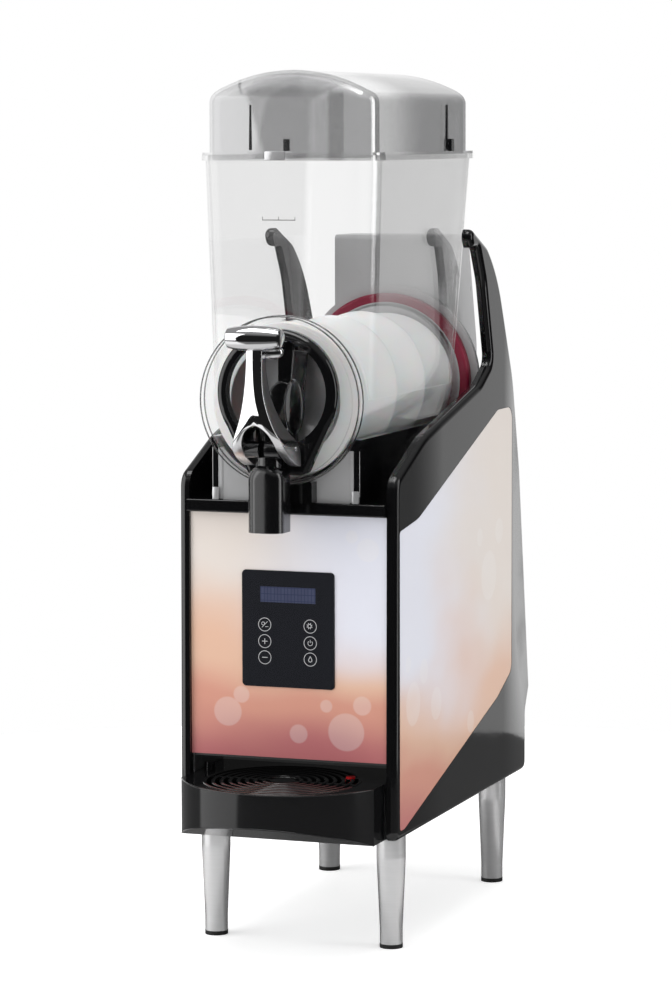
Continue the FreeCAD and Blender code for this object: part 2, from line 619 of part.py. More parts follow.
def make_cradle():
    side = "cradle_width / 2"
    base = block("cradle_block", ("-%s" % side, "cradle_front_y", "deck_z"),
                 (side, "bowl_rear_y", "cradle_top_z"))
    lips = block("cradle_lips",
                 ("-%s - cradle_lip" % side, "cradle_front_y", "cradle_top_z - cradle_lip_height"),
                 (side + " + cradle_lip", "bowl_rear_y", "cradle_top_z"))
    trough = bowl_bore("cradle_trough", "bowl_radius + fit_gap", "cradle_front_y - 5",
                       "bowl_rear_y + 5")
    ledge = block("cradle_front_step",
                  ("-%s + cradle_post" % side, "cradle_front_y - 1", "deck_z - 1"),
                  (side + " - cradle_post", "cradle_front_y + cradle_plate", "cradle_top_z + 1"))
    inside = block("cradle_inside",
                   ("-%s + cradle_wall" % side, "cradle_front_y + cradle_wall + cradle_plate",
                    "deck_z - 1"),
                   (side + " - cradle_wall", "bowl_rear_y - cradle_wall",
                    "cradle_top_z - cradle_wall"))
    lining = bowl_bore("cradle_lining", "bowl_radius + fit_gap + cradle_wall",
                       "cradle_front_y - 5", "bowl_rear_y + 5")
    hollow = cut("cradle_hollow", inside, [lining])
    return cut("bowl_cradle", fuse("cradle_body", [base, lips]), [trough, ledge, hollow])


def make_cradle_plate():
    side = "cradle_width / 2 - cradle_post - fit_gap"
    face = block("cradle_plate_slab", ("-(%s)" % side, "cradle_front_y", "deck_z"),
                 (side, "cradle_front_y + cradle_plate", "cradle_top_z"))
    return cut("cradle_plate", face, [bowl_bore("plate_trough", "bowl_radius + fit_gap",
                                                "cradle_front_y - 5", "cradle_front_y + 5")])


def make_stop():
    low = "deck_z + fit_gap"
    body = block("stop_block", ("-stop_width / 2", "cradle_front_y - stop_depth", low),
                 ("stop_width / 2", "cradle_front_y", "bowl_axis_z - bowl_radius + 2"))
    tab = block("stop_tab", ("-stop_tab_width / 2", "cradle_front_y - stop_depth",
                             "deck_z - stop_tab_drop"),
                ("stop_tab_width / 2", "panel_front_y - trim_proud - fit_gap", low + " + 1"))
    room = bowl_bore("stop_room", "bowl_radius + nose_rim_step + fit_gap",
                     "nose_front_y - nose_rim - 5", "cradle_front_y + 5")
    return cut("bowl_stop", fuse("stop_body", [body, tab]), [room])


keep("bowl_cradle", make_cradle())
keep("cradle_plate", make_cradle_plate())
keep("bowl_stop", make_stop())

# Clear bowl: a tapered hopper over a level trough with a round nose in front


def hopper(name, wall, low_z, top_z):
    """The hopper's taper, its side walls drawn in by a wall thickness."""
    low = ("-hopper_low_width / 2 + %s" % wall, "hopper_low_front_y + %s" % wall)
    low_far = ("hopper_low_width / 2 - %s" % wall, "hopper_low_rear_y - %s" % wall)
    top = ("-hopper_top_width / 2 + %s" % wall, "hopper_top_front_y + %s" % wall)
    top_far = ("hopper_top_width / 2 - %s" % wall, "hopper_top_rear_y - %s" % wall)
    skin = loft(name + "_skin", [level_frame(name + "_low", low, low_far, low_z),
                                 level_frame(name + "_top", top, top_far, top_z)])
    return rounded(name, skin, "hopper_corner - %s" % wall, upright)


def rim_block(name, reach, low_z, top_z):
    """A slab of the hopper's top outline, grown by a reach."""
    side = "hopper_top_width / 2 + (%s)" % reach
    slab = block(name + "_slab",
                 ("-(%s)" % side, "hopper_top_front_y - (%s)" % reach, low_z),
                 (side, "hopper_top_rear_y + (%s)" % reach, top_z))
    return rounded(name, slab, "hopper_corner + (%s)" % reach, upright)


def make_bowl():
    outer = hopper("hopper_outer", "0", "hopper_low_z", "hopper_top_z")
    trough = bowl_bore("trough_outer", "bowl_radius", "nose_front_y", "bowl_rear_y")
    rim = rim_block("bowl_rim", "rim_reach", "hopper_top_z", RIM_TOP)
    nose = bowl_bore("nose_rim", "bowl_radius + nose_rim_step", "nose_front_y - nose_rim",
                     "nose_front_y - nose_rim + nose_rim_width")
    doc.recompute()
    nose = rounded("nose_rim_round", nose, "nose_rim_step * 1.4",
                   lambda edge: edge.Length > 100 and edge.BoundBox.YLength < 0.01)
    inner = hopper("hopper_inner", "bowl_wall", "bowl_axis_z", "hopper_top_z")
    mouth = rim_block("bowl_mouth", "mouth_step - bowl_wall", "hopper_top_z", RIM_TOP + " + 1")
    bore = bowl_bore("trough_inner", BOWL_INNER, "nose_front_y + bowl_wall", "bowl_rear_y + 1")
    dish = bowl_bore("nose_dish", DISH, "nose_front_y - nose_rim - 1", "nose_front_y")
    port = rod("bowl_port", "y", ("0", "nose_front_y - nose_rim", "tap_inlet_z"),
               "nose_rim + bowl_wall + 1", "tap_inlet_radius + hinge_gap")
    return cut("bowl", fuse("bowl_outer", [outer, trough, rim, nose]),
               [inner, mouth, bore, dish, port])


keep("bowl", make_bowl())

# Lid: a clear box with an arched top that drops a lip inside the bowl's rim


def lid_form(name, wall, low_z, corner):
    """The arched box, its faces drawn in by a wall thickness."""
    side = "(hopper_top_width / 2 - lid_inset - %s)" % wall
    front = "(hopper_top_front_y + lid_inset + %s)" % wall
    rear = "(hopper_top_rear_y - lid_inset - %s)" % wall
    box = block(name + "_box", ("-" + side, front, low_z), (side, rear, LID_TOP + " - %s" % wall))
    span = "(hopper_top_width / 2 - lid_inset)"
    arch = "((%s * %s + lid_arch * lid_arch) / (2 * lid_arch))" % (span, span)
    barrel = rod(name + "_barrel", "y", ("0", front + " - 1", LID_TOP + " - " + arch),
                 "(%s) - (%s) + 2" % (rear, front), "%s - %s" % (arch, wall))
    shape = rounded(name + "_corners", common(name + "_arch", box, barrel), corner, upright)
    return rounded(name, shape, "lid_edge_round - %s" % wall, lid_top_edge)


def lid_top_edge(edge):
    """True for an edge of the ring that runs round the lid's arched top."""
    return edge.BoundBox.ZMin > value(LID_BASE + " + lid_side_height - lid_clip_size")


def make_lid():
    """The arched box on a flange that rests on the rim, with a lip inside the mouth."""
    outer = lid_form("lid_outer", "0", RIM_TOP, "lid_corner")
    inner = lid_form("lid_inner", "lid_wall", RIM_TOP + " - lid_lip - 1", "lid_corner - lid_wall")
    flange = rim_block("lid_flange", "rim_reach - fit_gap", RIM_TOP, LID_BASE)
    lip = rim_block("lid_lip", "-(bowl_wall + fit_gap)", RIM_TOP + " - lid_lip", LID_BASE)
    return cut("lid", fuse("lid_solid", [outer, flange, lip]), [inner])


def make_lid_clips():
    clips = []
    for side in ("-1", "1"):
        near = "%s * (hopper_top_width / 2 - lid_inset)" % side
        x_low = near if side == "1" else near + " - lid_clip_size / 2"
        x_high = near + " + lid_clip_size / 2" if side == "1" else near
        clips.append(block("lid_clip%s" % side.replace("-", "m"),
                           (x_low, "lid_clip_y", LID_BASE),
                           (x_high, "lid_clip_y + lid_clip_size",
                            LID_BASE + " + lid_clip_height")))
    return fuse("lid_clips", clips)


keep("lid", make_lid())
keep("lid_clips", make_lid_clips())

# Cooling cylinder, its seal, and the red gasket on the black seat behind the bowl

def long_ring(edge):
    """True for a large round edge in a plane across the bowl's axis."""
    return edge.Length > 100 and edge.BoundBox.YLength < 0.01


def make_evaporator():
    can = bowl_bore("evaporator_can", "evaporator_radius", "evaporator_front_y",
                    "evaporator_rear_y")
    room = bowl_bore("evaporator_room", "evaporator_radius - evaporator_wall",
                     "evaporator_front_y + evaporator_wall", "evaporator_rear_y + 1")
    sleeve = bowl_bore("evaporator_sleeve", "shaft_radius + shaft_sleeve",
                       "evaporator_front_y + 1", "evaporator_rear_y")
    bore = bowl_bore("evaporator_bore", "shaft_radius + shaft_gap", "evaporator_front_y - 1",
                     "evaporator_rear_y + 1")
    shell_only = cut("evaporator_shell", can, [room])
    return cut("evaporator", fuse("evaporator_body", [shell_only, sleeve]), [bore])


def make_seat():
    disc = bowl_bore("seat_disc", "seat_radius", "tower_front_y - seat_depth", "tower_front_y")
    spigot = bowl_bore("seat_spigot", "gasket_inner", "gasket_front_y", "tower_front_y - 1")
    pocket = bowl_bore("seat_pocket", "evaporator_radius + fit_gap", "bowl_rear_y - 20",
                       "evaporator_rear_y")
    bore = bowl_bore("seat_bore", "shaft_radius + 1", "bowl_rear_y - 20", "tower_front_y + 1")
    return cut("bowl_seat", fuse("seat_body", [disc, spigot]), [pocket, bore])


def make_gasket():
    ring = bowl_bore("gasket_form", "gasket_outer", "gasket_front_y", "tower_front_y - seat_depth")
    soft = rounded("gasket_soft", ring, "gasket_round", long_ring)
    bore = bowl_bore("gasket_bore", "gasket_inner", "gasket_front_y - 1", "tower_front_y")
    return cut("bowl_gasket", soft, [bore])


def make_shaft_seal():
    near = "evaporator_front_y - seal_depth"
    ring = bowl_bore("seal_ring", "seal_radius", near, "evaporator_front_y")
    bore = bowl_bore("seal_bore", "shaft_radius + shaft_gap", near + " - 1",
                     "evaporator_front_y + 1")
    return cut("shaft_seal", ring, [bore])


keep("evaporator", make_evaporator())
keep("bowl_seat", make_seat())
keep("bowl_gasket", make_gasket())
keep("shaft_seal", make_shaft_seal())

# White auger: a spiral ribbon on two spars round the cylinder, turned by a black arm

ARM_REAR = "(evaporator_front_y - seal_depth - fit_gap)"
ARM_FRONT = "(%s - auger_arm_depth)" % ARM_REAR
HUB_FRONT = "(%s - hub_nose)" % ARM_FRONT
SPAR_CIRCLE = "(%s + auger_spar_inset + auger_spar_radius)" % AUGER_CORE


def make_ribbon():
    spine = doc.addObject("Part::Helix", "auger_spine")
    spine.LocalCoord = "Left-handed"
    bind(spine, "Pitch", "auger_pitch")
    bind(spine, "Height", "auger_pitch * auger_turns")
    bind(spine, "Radius", AUGER_CORE)
    section = outline("auger_section", None,
                      [(AUGER_CORE, "-auger_blade_root / 2"),
                       (AUGER_RADIUS, "-auger_blade / 2"), (AUGER_RADIUS, "auger_blade / 2"),
                       (AUGER_CORE, "auger_blade_root / 2")])
    section.Placement.Rotation = Rotation(Vector(1, 0, 0), 90)
    ribbon = doc.addObject("Part::Sweep", "auger_ribbon")
    ribbon.Sections = [section]
    ribbon.Spine = (spine, ["Edge1"])
    ribbon.Solid = True
    ribbon.Frenet = True
    turned_ribbon = doc.addObject("Part::Compound", "auger_ribbon_level")
    turned_ribbon.Links = [ribbon]
    turned_ribbon.Placement.Rotation = TURNS["y"]
    place(turned_ribbon, "0", "auger_start_y", "bowl_axis_z")
    return turned_ribbon


def make_spars(name):
    """The top and bottom spar, from the arm's front to the ribbon's end."""
    end = "auger_start_y + auger_pitch * auger_turns"
    return [rod("%s%d" % (name, number), "y",
                ("0", ARM_FRONT, "bowl_axis_z %s %s" % (sign, SPAR_CIRCLE)),
                "%s - (%s)" % (end, ARM_FRONT), "auger_spar_radius")
            for number, sign in enumerate("+-")]


def make_arm():
    reach = "(%s + auger_spar_radius + auger_arm_end)" % SPAR_CIRCLE
    bar = block("arm_bar", ("-auger_arm_width / 2", ARM_FRONT, "bowl_axis_z - %s" % reach),
                ("auger_arm_width / 2", ARM_REAR, "bowl_axis_z + %s" % reach))
    hub = bowl_bore("arm_hub", "hub_radius", HUB_FRONT, ARM_REAR)
    bore = bowl_bore("arm_bore", "shaft_radius", HUB_FRONT + " - 1", ARM_REAR + " + 1")
    return cut("auger_arm", fuse("arm_body", [bar, hub]), make_spars("arm_hole") + [bore])


def make_nut():
    near = HUB_FRONT + " - nut_length"
    nut = bowl_bore("nut_form", "nut_radius", near, HUB_FRONT)
    return rounded("hub_nut", nut, "nut_round",
                   lambda edge: edge.BoundBox.YMax < value(near) + 0.01)


keep("auger", fuse("auger_whole", [make_ribbon()] + make_spars("auger_spar")))
keep("auger_arm", make_arm())
keep("drive_shaft", bowl_bore("shaft_rod", "shaft_radius", HUB_FRONT,
                              "tower_front_y + tower_wall + coupling_depth"))
keep("hub_nut", make_nut())

# Tower behind the bowl, with the gear motor in it

TOWER_INNER = "(tower_front_y + tower_wall)"


def make_tower():
    side = "tower_width / 2"
    shape = plate("tower_form", "YZ_Plane", "-" + side, "tower_width",
                  [("tower_front_y", "deck_z"), ("tower_low_rear_y", "deck_z"),
                   ("tower_mid_rear_y", "tower_mid_z"), ("tower_top_rear_y", "tower_top_z"),
                   ("tower_front_y", "tower_top_z")], [("10", (3,)), ("5", (4,)), ("60", (2,))])
    room = plate("tower_room", "YZ_Plane", "-%s + tower_wall" % side,
                 "tower_width - 2 * tower_wall",
                 [(TOWER_INNER, "deck_z - 1"),
                  ("tower_low_rear_y - tower_wall", "deck_z - 1"),
                  ("tower_mid_rear_y - tower_wall", "tower_mid_z - 1"),
                  ("tower_top_rear_y - 2 * tower_wall", "tower_top_z - tower_wall"),
                  (TOWER_INNER, "tower_top_z - tower_wall")])
    bore = bowl_bore("tower_bore", "shaft_radius + 1", "tower_front_y - 1", TOWER_INNER + " + 1")
    return cut("motor_tower", shape, [room, bore])


def make_gear_motor():
    box = block("gearbox", ("-gearbox_width / 2", TOWER_INNER, "bowl_axis_z - gearbox_height / 2"),
                ("gearbox_width / 2", TOWER_INNER + " + gearbox_depth",
                 "bowl_axis_z + gearbox_height / 2"))
    box = rounded("gearbox_soft", box, "gearbox_round", along_y)
    motor = rod("motor_can", "z", ("0", TOWER_INNER + " + motor_radius + 1",
                                   "bowl_axis_z - gearbox_height / 2 - motor_drop"),
                "motor_drop + 2", "motor_radius")
    bore = bowl_bore("gearbox_bore", "shaft_radius + shaft_gap", TOWER_INNER + " - 1",
                     TOWER_INNER + " + coupling_depth + fit_gap")
    return cut("gear_motor", fuse("gear_motor_body", [box, motor]), [bore])


keep("motor_tower", make_tower())
keep("gear_motor", make_gear_motor())

# Tap: black bezel and spout on the bowl's nose, a piston valve and its return spring

BEZEL_FRONT = "(nose_front_y - bezel_depth)"


def tap_bore(name, radius, low, high):
    """A cylinder on the tap's upright axis."""
    return rod(name, "z", ("0", "tap_y", low), "(%s) - (%s)" % (high, low), radius)


def make_bezel():
    ring = rod("bezel_ring", "y", ("0", BEZEL_FRONT, "bezel_z"), "bezel_depth", "bezel_radius")
    neck = plate("bezel_neck", "XZ_Plane", "-nose_front_y", "bezel_depth",
                 [("-bezel_neck_width / 2", "bezel_neck_low_z"),
                  ("bezel_neck_width / 2", "bezel_neck_low_z"),
                  ("bezel_radius * 0.86", "bezel_z - bezel_radius / 2"),
                  ("-bezel_radius * 0.86", "bezel_z - bezel_radius / 2")])
    within = bowl_bore("bezel_within", DISH + " - fit_gap", BEZEL_FRONT + " - 1",
                       "nose_front_y + 1")
    soft = rounded("bezel_soft", fuse("bezel_body", [ring, neck]), "bezel_round",
                   lambda edge: edge.BoundBox.YMax < value(BEZEL_FRONT) + 0.01)
    seated = common("bezel_seated", soft, within)
    window = rod("bezel_window", "y", ("0", BEZEL_FRONT + " - 1", "bezel_z"), "bezel_depth + 2",
                 "bezel_opening")
    port = rod("bezel_port", "y", ("0", BEZEL_FRONT + " - 1", "tap_inlet_z"), "bezel_depth + 2",
               "tap_inlet_radius + fit_gap")
    return cut("tap_bezel", seated, [window, port])


def make_spout():
    body = plate("spout_form", "XZ_Plane", "-(tap_y + spout_depth / 2)", "spout_depth",
                 [("-spout_width / 2", "spout_low_z"), ("spout_width / 2", "spout_low_z"),
                  ("spout_width / 2", "spout_top_z"), ("-spout_width / 2", "spout_top_z")],
                 [("spout_dome", (2, 3))])
    doc.recompute()
    low = value("spout_low_z") + 0.01
    return rounded("spout_soft", body, "spout_round",
                   lambda edge: edge.BoundBox.YLength < 0.01 and edge.BoundBox.ZMax > low)


def hinge_rod(name, side, start, end, radius):
    """A rod on the lever's hinge line, on the right (1) or the left (-1)."""
    near = start if side > 0 else "-(%s)" % end
    return rod(name, "x", (near, "hinge_y", "hinge_z"), "(%s) - (%s)" % (end, start), radius)


def make_tap_body():
    barrel = tap_bore("tap_barrel", "barrel_radius", "barrel_low_z", "barrel_top_z")
    inlet_end = "nose_front_y + bowl_wall"
    inlet = rod("tap_inlet", "y", ("0", "tap_y", "tap_inlet_z"), inlet_end + " - tap_y",
                "tap_inlet_radius")
    lugs = [hinge_rod("tap_lug%d" % side, side, "hinge_radius", "leg_inner - fit_gap",
                      "hinge_lug") for side in (1, -1)]
    solid = fuse("tap_solid", [barrel, make_spout(), inlet] + lugs)
    way = rod("tap_way", "y", ("0", "tap_y", "tap_way_z"), inlet_end + " - tap_y + 1",
              "tap_way_radius")
    bore = tap_bore("tap_bore", "piston_radius + piston_gap", "spout_low_z - 1",
                    "barrel_top_z + 1")
    slot = block("tap_lift_slot", ("-spout_width", "%s - 1" % SLOT_FRONT, "%s - 1" % SLOT_LOW),
                 ("spout_width", SLOT_REAR, "%s + %s + 1" % (SLOT_HIGH, LIFT)))
    holes = [hinge_rod("tap_pin_hole%d" % side, side, "hinge_pin_start", "leg_inner",
                       "hinge_radius") for side in (1, -1)]
    notch = block("tap_notch", ("-spout_width", BEZEL_FRONT + " - fit_gap",
                                "bezel_neck_low_z - 2 * fit_gap"),
                  ("spout_width", "tap_y + spout_depth", "spout_top_z + 1"))
    spare = cut("tap_notch_only", notch, [rod("tap_notch_room", "y",
                                              ("0", "tap_y", "tap_inlet_z"), "spout_depth * 2",
                                              "tap_inlet_radius")])
    return cut("tap_body", solid, [spare, way, bore, slot] + holes)


LIFT_ARM = "(tap_y - hinge_y)"
LIFT = "(%s * sin(lever_swing))" % LIFT_ARM
PIN_DRAW = "(%s * (1 - cos(lever_swing)))" % LIFT_ARM
SLOT_REACH = "(lift_pin_radius + lift_slot_gap)"
SLOT_FRONT = "(tap_y - %s - %s)" % (SLOT_REACH, PIN_DRAW)
SLOT_REAR = "(tap_y + %s)" % SLOT_REACH
SLOT_LOW = "(hinge_z - %s)" % SLOT_REACH
SLOT_HIGH = "(hinge_z + %s)" % SLOT_REACH


def make_hinge_pins():
    return fuse("hinge_pin_pair",
                [hinge_rod("hinge_pin%d" % side, side, "hinge_pin_start", "hinge_pin_end",
                           "hinge_radius") for side in (1, -1)])


def make_cap():
    disc = tap_bore("cap_disc", "barrel_radius", "barrel_top_z", "barrel_top_z + cap_height")
    return rounded("tap_cap_soft", disc, "cap_round",
                   lambda edge: edge.Length > 30 and edge.BoundBox.ZMin
                   > value("barrel_top_z + cap_height") - 0.01)


def make_piston():
    body = tap_bore("piston_form", "piston_radius", "piston_low_z", "piston_top_z")
    slot = block("piston_slot", ("-piston_radius - 1", SLOT_FRONT, SLOT_LOW),
                 ("piston_radius + 1", SLOT_REAR, SLOT_HIGH))
    return cut("piston_cut", body, [slot])


def make_spring():
    """The outer shape of the spring that is closed in under the cap."""
    low, high = "piston_top_z + fit_gap", "barrel_top_z - fit_gap"
    tube = tap_bore("spring_tube", "spring_radius", low, high)
    room = tap_bore("spring_room", "spring_radius - 2 * spring_wire", low + " - 1", high + " + 1")
    return cut("spring_cut", tube, [room])


keep("tap_bezel", make_bezel())
keep("tap_body", make_tap_body())
keep("hinge_pins", make_hinge_pins())
keep("tap_cap", make_cap())
keep("tap_piston", make_piston())
keep("tap_spring", make_spring())

# Chrome lever: a forked stem that carries the grip and the pin that lifts the piston

LEVER_STEPS = ["hip", "thigh", "waist", "stem", "neck"]


def lever_section(step):
    side = "lever_%s_width / 2" % step
    return level_frame("lever_%s" % step, ("-" + side, "lever_%s_front_y" % step),
                       (side, "lever_%s_rear_y" % step), "lever_%s_z" % step)


def make_lever():
    legs = plate("lever_legs", "YZ_Plane", "-leg_outer", "2 * leg_outer",
                 [("lever_toe_y", "lever_toe_z"), ("lever_rear_y", "lever_rear_low_z"),
                  ("lever_rear_y", "lever_rear_top_z"), ("lever_hip_rear_y", "lever_hip_z"),
                  ("lever_hip_front_y", "lever_hip_z")], [("9", (1, 2))])
    stem = loft("lever_stem", [lever_section(step) for step in LEVER_STEPS])
    grip = doc.addObject("Part::Box", "grip_box")
    for field, text in zip(("Length", "Width", "Height"),
                           ("grip_width", "grip_depth", "grip_height")):
        bind(grip, field, text)
        bind(grip, "Placement.Base." + {"Length": "x", "Width": "y", "Height": "z"}[field],
             "-%s / 2" % text)
    grip_ends = rounded("grip_ends", grip, "grip_round", upright)
    doc.recompute()
    soft_grip = rounded("grip_soft", grip_ends, "grip_edge",
                        lambda edge: edge.BoundBox.ZLength < 0.01)
    tilted = doc.addObject("Part::Compound", "grip_tilted")
    tilted.Links = [soft_grip]
    tilted.Placement.Rotation = Rotation(Vector(1, 0, 0), value("grip_tilt"))
    place(tilted, "0", "grip_y", "grip_z")
    fork_top = "(lever_crotch_z - leg_inner)"
    fork = block("lever_fork", ("-leg_inner", "lever_neck_front_y - 20", "lever_rear_low_z - 5"),
                 ("leg_inner", "lever_rear_y + 5", fork_top))
    arch = rod("lever_arch", "y", ("0", "lever_neck_front_y - 20", fork_top),
               "lever_rear_y - lever_neck_front_y + 25", "leg_inner")
    holes = [hinge_rod("lever_hole%d" % side, side, "leg_inner - 1", "hinge_pin_end + fit_gap",
                       "hinge_radius + hinge_gap") for side in (1, -1)]
    forked = cut("lever_forked", fuse("lever_body", [legs, stem, tilted]), [fork, arch] + holes)
    pin = rod("lift_pin", "x", ("-leg_outer", "tap_y", "hinge_z"), "2 * leg_outer",
              "lift_pin_radius")
    return fuse("lever_whole", [forked, pin])


keep("tap_lever", make_lever())

# Recess under the front panel, and the drip tray that slides out of it

TUB_INNER = "(%s - sheet_steel)" % INNER
FLOOR_TOP = "(body_bottom + sheet_steel)"
BOW_RADIUS = "((tray_width * tray_width / 4 + tray_bow * tray_bow) / (2 * tray_bow))"
BOW_Y = "(tray_front_y + %s)" % BOW_RADIUS


def tray_form(name, inset, low_z, top_z):
    """The tray's outline, bowed in front, drawn in by an inset."""
    side = "(tray_width / 2 - (%s))" % inset
    radius = "(%s - (%s))" % (BOW_RADIUS, inset)
    corner_y = "(%s - sqrt(%s * %s - %s * %s))" % (BOW_Y, radius, radius, side, side)
    bow = rod(name + "_bow", "z", ("0", BOW_Y, low_z), "(%s) - (%s)" % (top_z, low_z), radius)
    front = block(name + "_front", ("-" + side, "tray_front_y - 1", low_z),
                  (side, corner_y, top_z))
    rear = block(name + "_rear", ("-" + side, corner_y, low_z),
                 (side, "tray_rear_y - (%s)" % inset, top_z))
    return fuse(name, [common(name + "_nose", bow, front), rear])


def make_recess():
    side = "(%s - fit_gap)" % TUB_INNER
    near = "tray_rear_y + recess_gap"
    wall = block("recess_wall_slab", ("-" + side, near, FLOOR_TOP),
                 (side, near + " + recess_wall", "panel_low_z"))
    ceiling = block("recess_ceiling", ("-" + side, "panel_front_y + panel_thickness + fit_gap",
                                       "panel_low_z - recess_wall"),
                    (side, near + " + 1", "panel_low_z"))
    return fuse("recess_body", [wall, ceiling])


def make_tray():
    outer = tray_form("tray_outer", "0", FLOOR_TOP, "tray_top_z")
    pocket = tray_form("tray_pocket", "tray_wall", "tray_top_z - grille_thickness",
                       "tray_top_z + 1")
    corner_y = "(%s - sqrt(%s * %s - tray_width * tray_width / 4))" % (
        BOW_Y, BOW_RADIUS, BOW_RADIUS)
    slope = [(corner_y, FLOOR_TOP + " - 1"), (corner_y, FLOOR_TOP),
             ("tray_front_y", FLOOR_TOP + " + tray_rise"),
             ("tray_front_y - 10", FLOOR_TOP + " + tray_rise"),
             ("tray_front_y - 10", FLOOR_TOP + " - 1")]
    under = plate("tray_under", "YZ_Plane", "-tray_width", "2 * tray_width", slope)
    room = tray_form("tray_room", "tray_wall + tray_ledge", FLOOR_TOP + " + tray_floor",
                     "tray_top_z")
    room_slope = [(u, "%s + tray_floor" % v) for u, v in slope]
    room_under = plate("tray_room_under", "YZ_Plane", "-tray_width", "2 * tray_width", room_slope)
    return cut("drip_tray_cut", outer, [under, pocket, cut("tray_room_cut", room, [room_under])])


def make_grille():
    low, high = "tray_top_z - grille_thickness", "tray_top_z"
    sheet_form = tray_form("grille_sheet", "tray_wall + fit_gap", low, high)
    rings = []
    for number in range(int(value("slot_count"))):
        inner = "slot_first + %d * slot_pitch" % number
        disc = rod("ring%d_disc" % number, "z", ("0", "slot_centre_y", low + " - 1"),
                   "grille_thickness + 2", inner + " + slot_width")
        core = rod("ring%d_core" % number, "z", ("0", "slot_centre_y", low + " - 2"),
                   "grille_thickness + 4", inner)
        rings.append(cut("ring%d" % number, disc, [core]))
    spokes = [block("spoke_across",
                    ("-tray_width", "slot_centre_y - spoke_width / 2", low + " - 3"),
                    ("tray_width", "slot_centre_y + spoke_width / 2", high + " + 3")),
              block("spoke_along", ("-spoke_width / 2", "tray_front_y", low + " - 3"),
                    ("spoke_width / 2", "0", high + " + 3"))]
    boss = rod("float_boss_keep", "z", ("float_x", "float_y", low + " - 3"),
               "grille_thickness + 6", "float_boss")
    slots = cut("slots", fuse("ring_set", rings), spokes + [boss])
    float_hole = rod("float_hole", "z", ("float_x", "float_y", low + " - 1"),
                     "grille_thickness + 2", "float_radius + fit_gap")
    return cut("grille_cut", sheet_form, [slots, float_hole])


def make_float():
    head_top = "tray_top_z + float_head_height"
    stem = rod("float_stem_rod", "z", ("float_x", "float_y", "tray_top_z - float_stem"),
               "float_stem", "float_radius")
    head = rod("float_head_disc", "z", ("float_x", "float_y", "tray_top_z"),
               "%s - tray_top_z" % head_top, "float_head")
    disc = rod("float_disc_rod", "z",
               ("float_x", "float_y", "tray_top_z - float_stem - float_disc_height"),
               "float_disc_height", "float_disc")
    return fuse("float_body", [stem, head, disc])


keep("tray_recess", make_recess())
keep("drip_tray", make_tray())
keep("drip_grille", make_grille())
keep("float_indicator", make_float())

# Four legs, each with a threaded steel foot on a rubber pad

FOOT_LOW = "pad_height"
LEG_LOW = "(pad_height + foot_height)"


def make_leg(name, x, y):
    leg = turned(name + "_form",
                 [("0", LEG_LOW), ("leg_low_radius", LEG_LOW),
                  ("leg_top_radius", "body_bottom - leg_straight"),
                  ("leg_top_radius", "body_bottom"), ("0", "body_bottom")], x, y, "0")
    bore = rod(name + "_bore", "z", (x, y, LEG_LOW + " - 1"), "foot_stud_length + 2",
               "foot_stud_radius + leg_bore_gap")
    return cut(name, leg, [bore])


def make_foot(name, x, y):
    base = rod(name + "_base", "z", (x, y, FOOT_LOW), "foot_height", "leg_low_radius")
    stud = rod(name + "_stud", "z", (x, y, LEG_LOW + " - 1"), "foot_stud_length + 1",
               "foot_stud_radius")
    return fuse(name + "_whole", [base, stud])


for depth_name, leg_y in (("front", "leg_front_y"), ("rear", "leg_rear_y")):
    for side_name, leg_x in (("left", "-leg_x"), ("right", "leg_x")):
        corner = "%s_%s" % (depth_name, side_name)
        keep("leg_" + corner, make_leg("leg_" + corner, leg_x, leg_y))
        keep("foot_" + corner, make_foot("foot_" + corner, leg_x, leg_y))
        keep("pad_" + corner, rod("pad_disc_" + corner, "z", (leg_x, leg_y, "0"), "pad_height",
                                  "pad_radius"))

# Cooling unit in the base: compressor, condenser, fan in its shroud, and brazed pipes

CONDENSER_REAR = "(condenser_front_y + condenser_depth)"
CONDENSER_TOP = "(%s + condenser_height)" % FLOOR_TOP
FAN_Z = "(%s + condenser_height / 2)" % FLOOR_TOP
MOTOR_FRONT = "(%s + shroud_thickness)" % CONDENSER_REAR
FAN_FRONT = "(%s + fan_motor_depth + fan_motor_gap)" % MOTOR_FRONT
COMPRESSOR_LOW = "(%s + compressor_lift)" % FLOOR_TOP
COMPRESSOR_TOP = "(%s + compressor_height)" % COMPRESSOR_LOW


def make_compressor():
    can = turned("compressor_can",
                 [("0", COMPRESSOR_LOW), ("compressor_radius", COMPRESSOR_LOW),
                  ("compressor_radius", COMPRESSOR_TOP + " - compressor_dome"),
                  ("compressor_radius - compressor_dome", COMPRESSOR_TOP),
                  ("0", COMPRESSOR_TOP)], "compressor_x", "compressor_y", "0")
    feet = [rod("compressor_foot%d%d" % (i > 0, j > 0), "z",
                ("compressor_x + %d * compressor_foot_offset" % i,
                 "compressor_y + %d * compressor_foot_offset" % j, FLOOR_TOP),
                "compressor_lift + 2", "compressor_foot_radius")
            for i in (-1, 1) for j in (-1, 1)]
    return fuse("compressor_whole", [can] + feet)


def make_condenser():
    side = "condenser_width / 2"
    frames = [block("condenser_frame%d" % number, ("-" + side, "condenser_front_y", low),
                    (side, CONDENSER_REAR, "%s + condenser_frame" % low))
              for number, low in enumerate((FLOOR_TOP, CONDENSER_TOP + " - condenser_frame"))]
    count = int(value("condenser_width / fin_pitch")) + 1
    fins = []
    for number in range(count):
        near = "-%s + %d * (condenser_width - fin_thickness) / %d" % (side, number, count - 1)
        fins.append(block("fin%d" % number, (near, "condenser_front_y", FLOOR_TOP),
                          (near + " + fin_thickness", CONDENSER_REAR, CONDENSER_TOP)))
    return fuse("condenser_whole", frames + fins)


def fan_rod(name, start, end, radius):
    """A cylinder on the fan's level axis."""
    return rod(name, "y", ("0", start, FAN_Z), "(%s) - (%s)" % (end, start), radius)


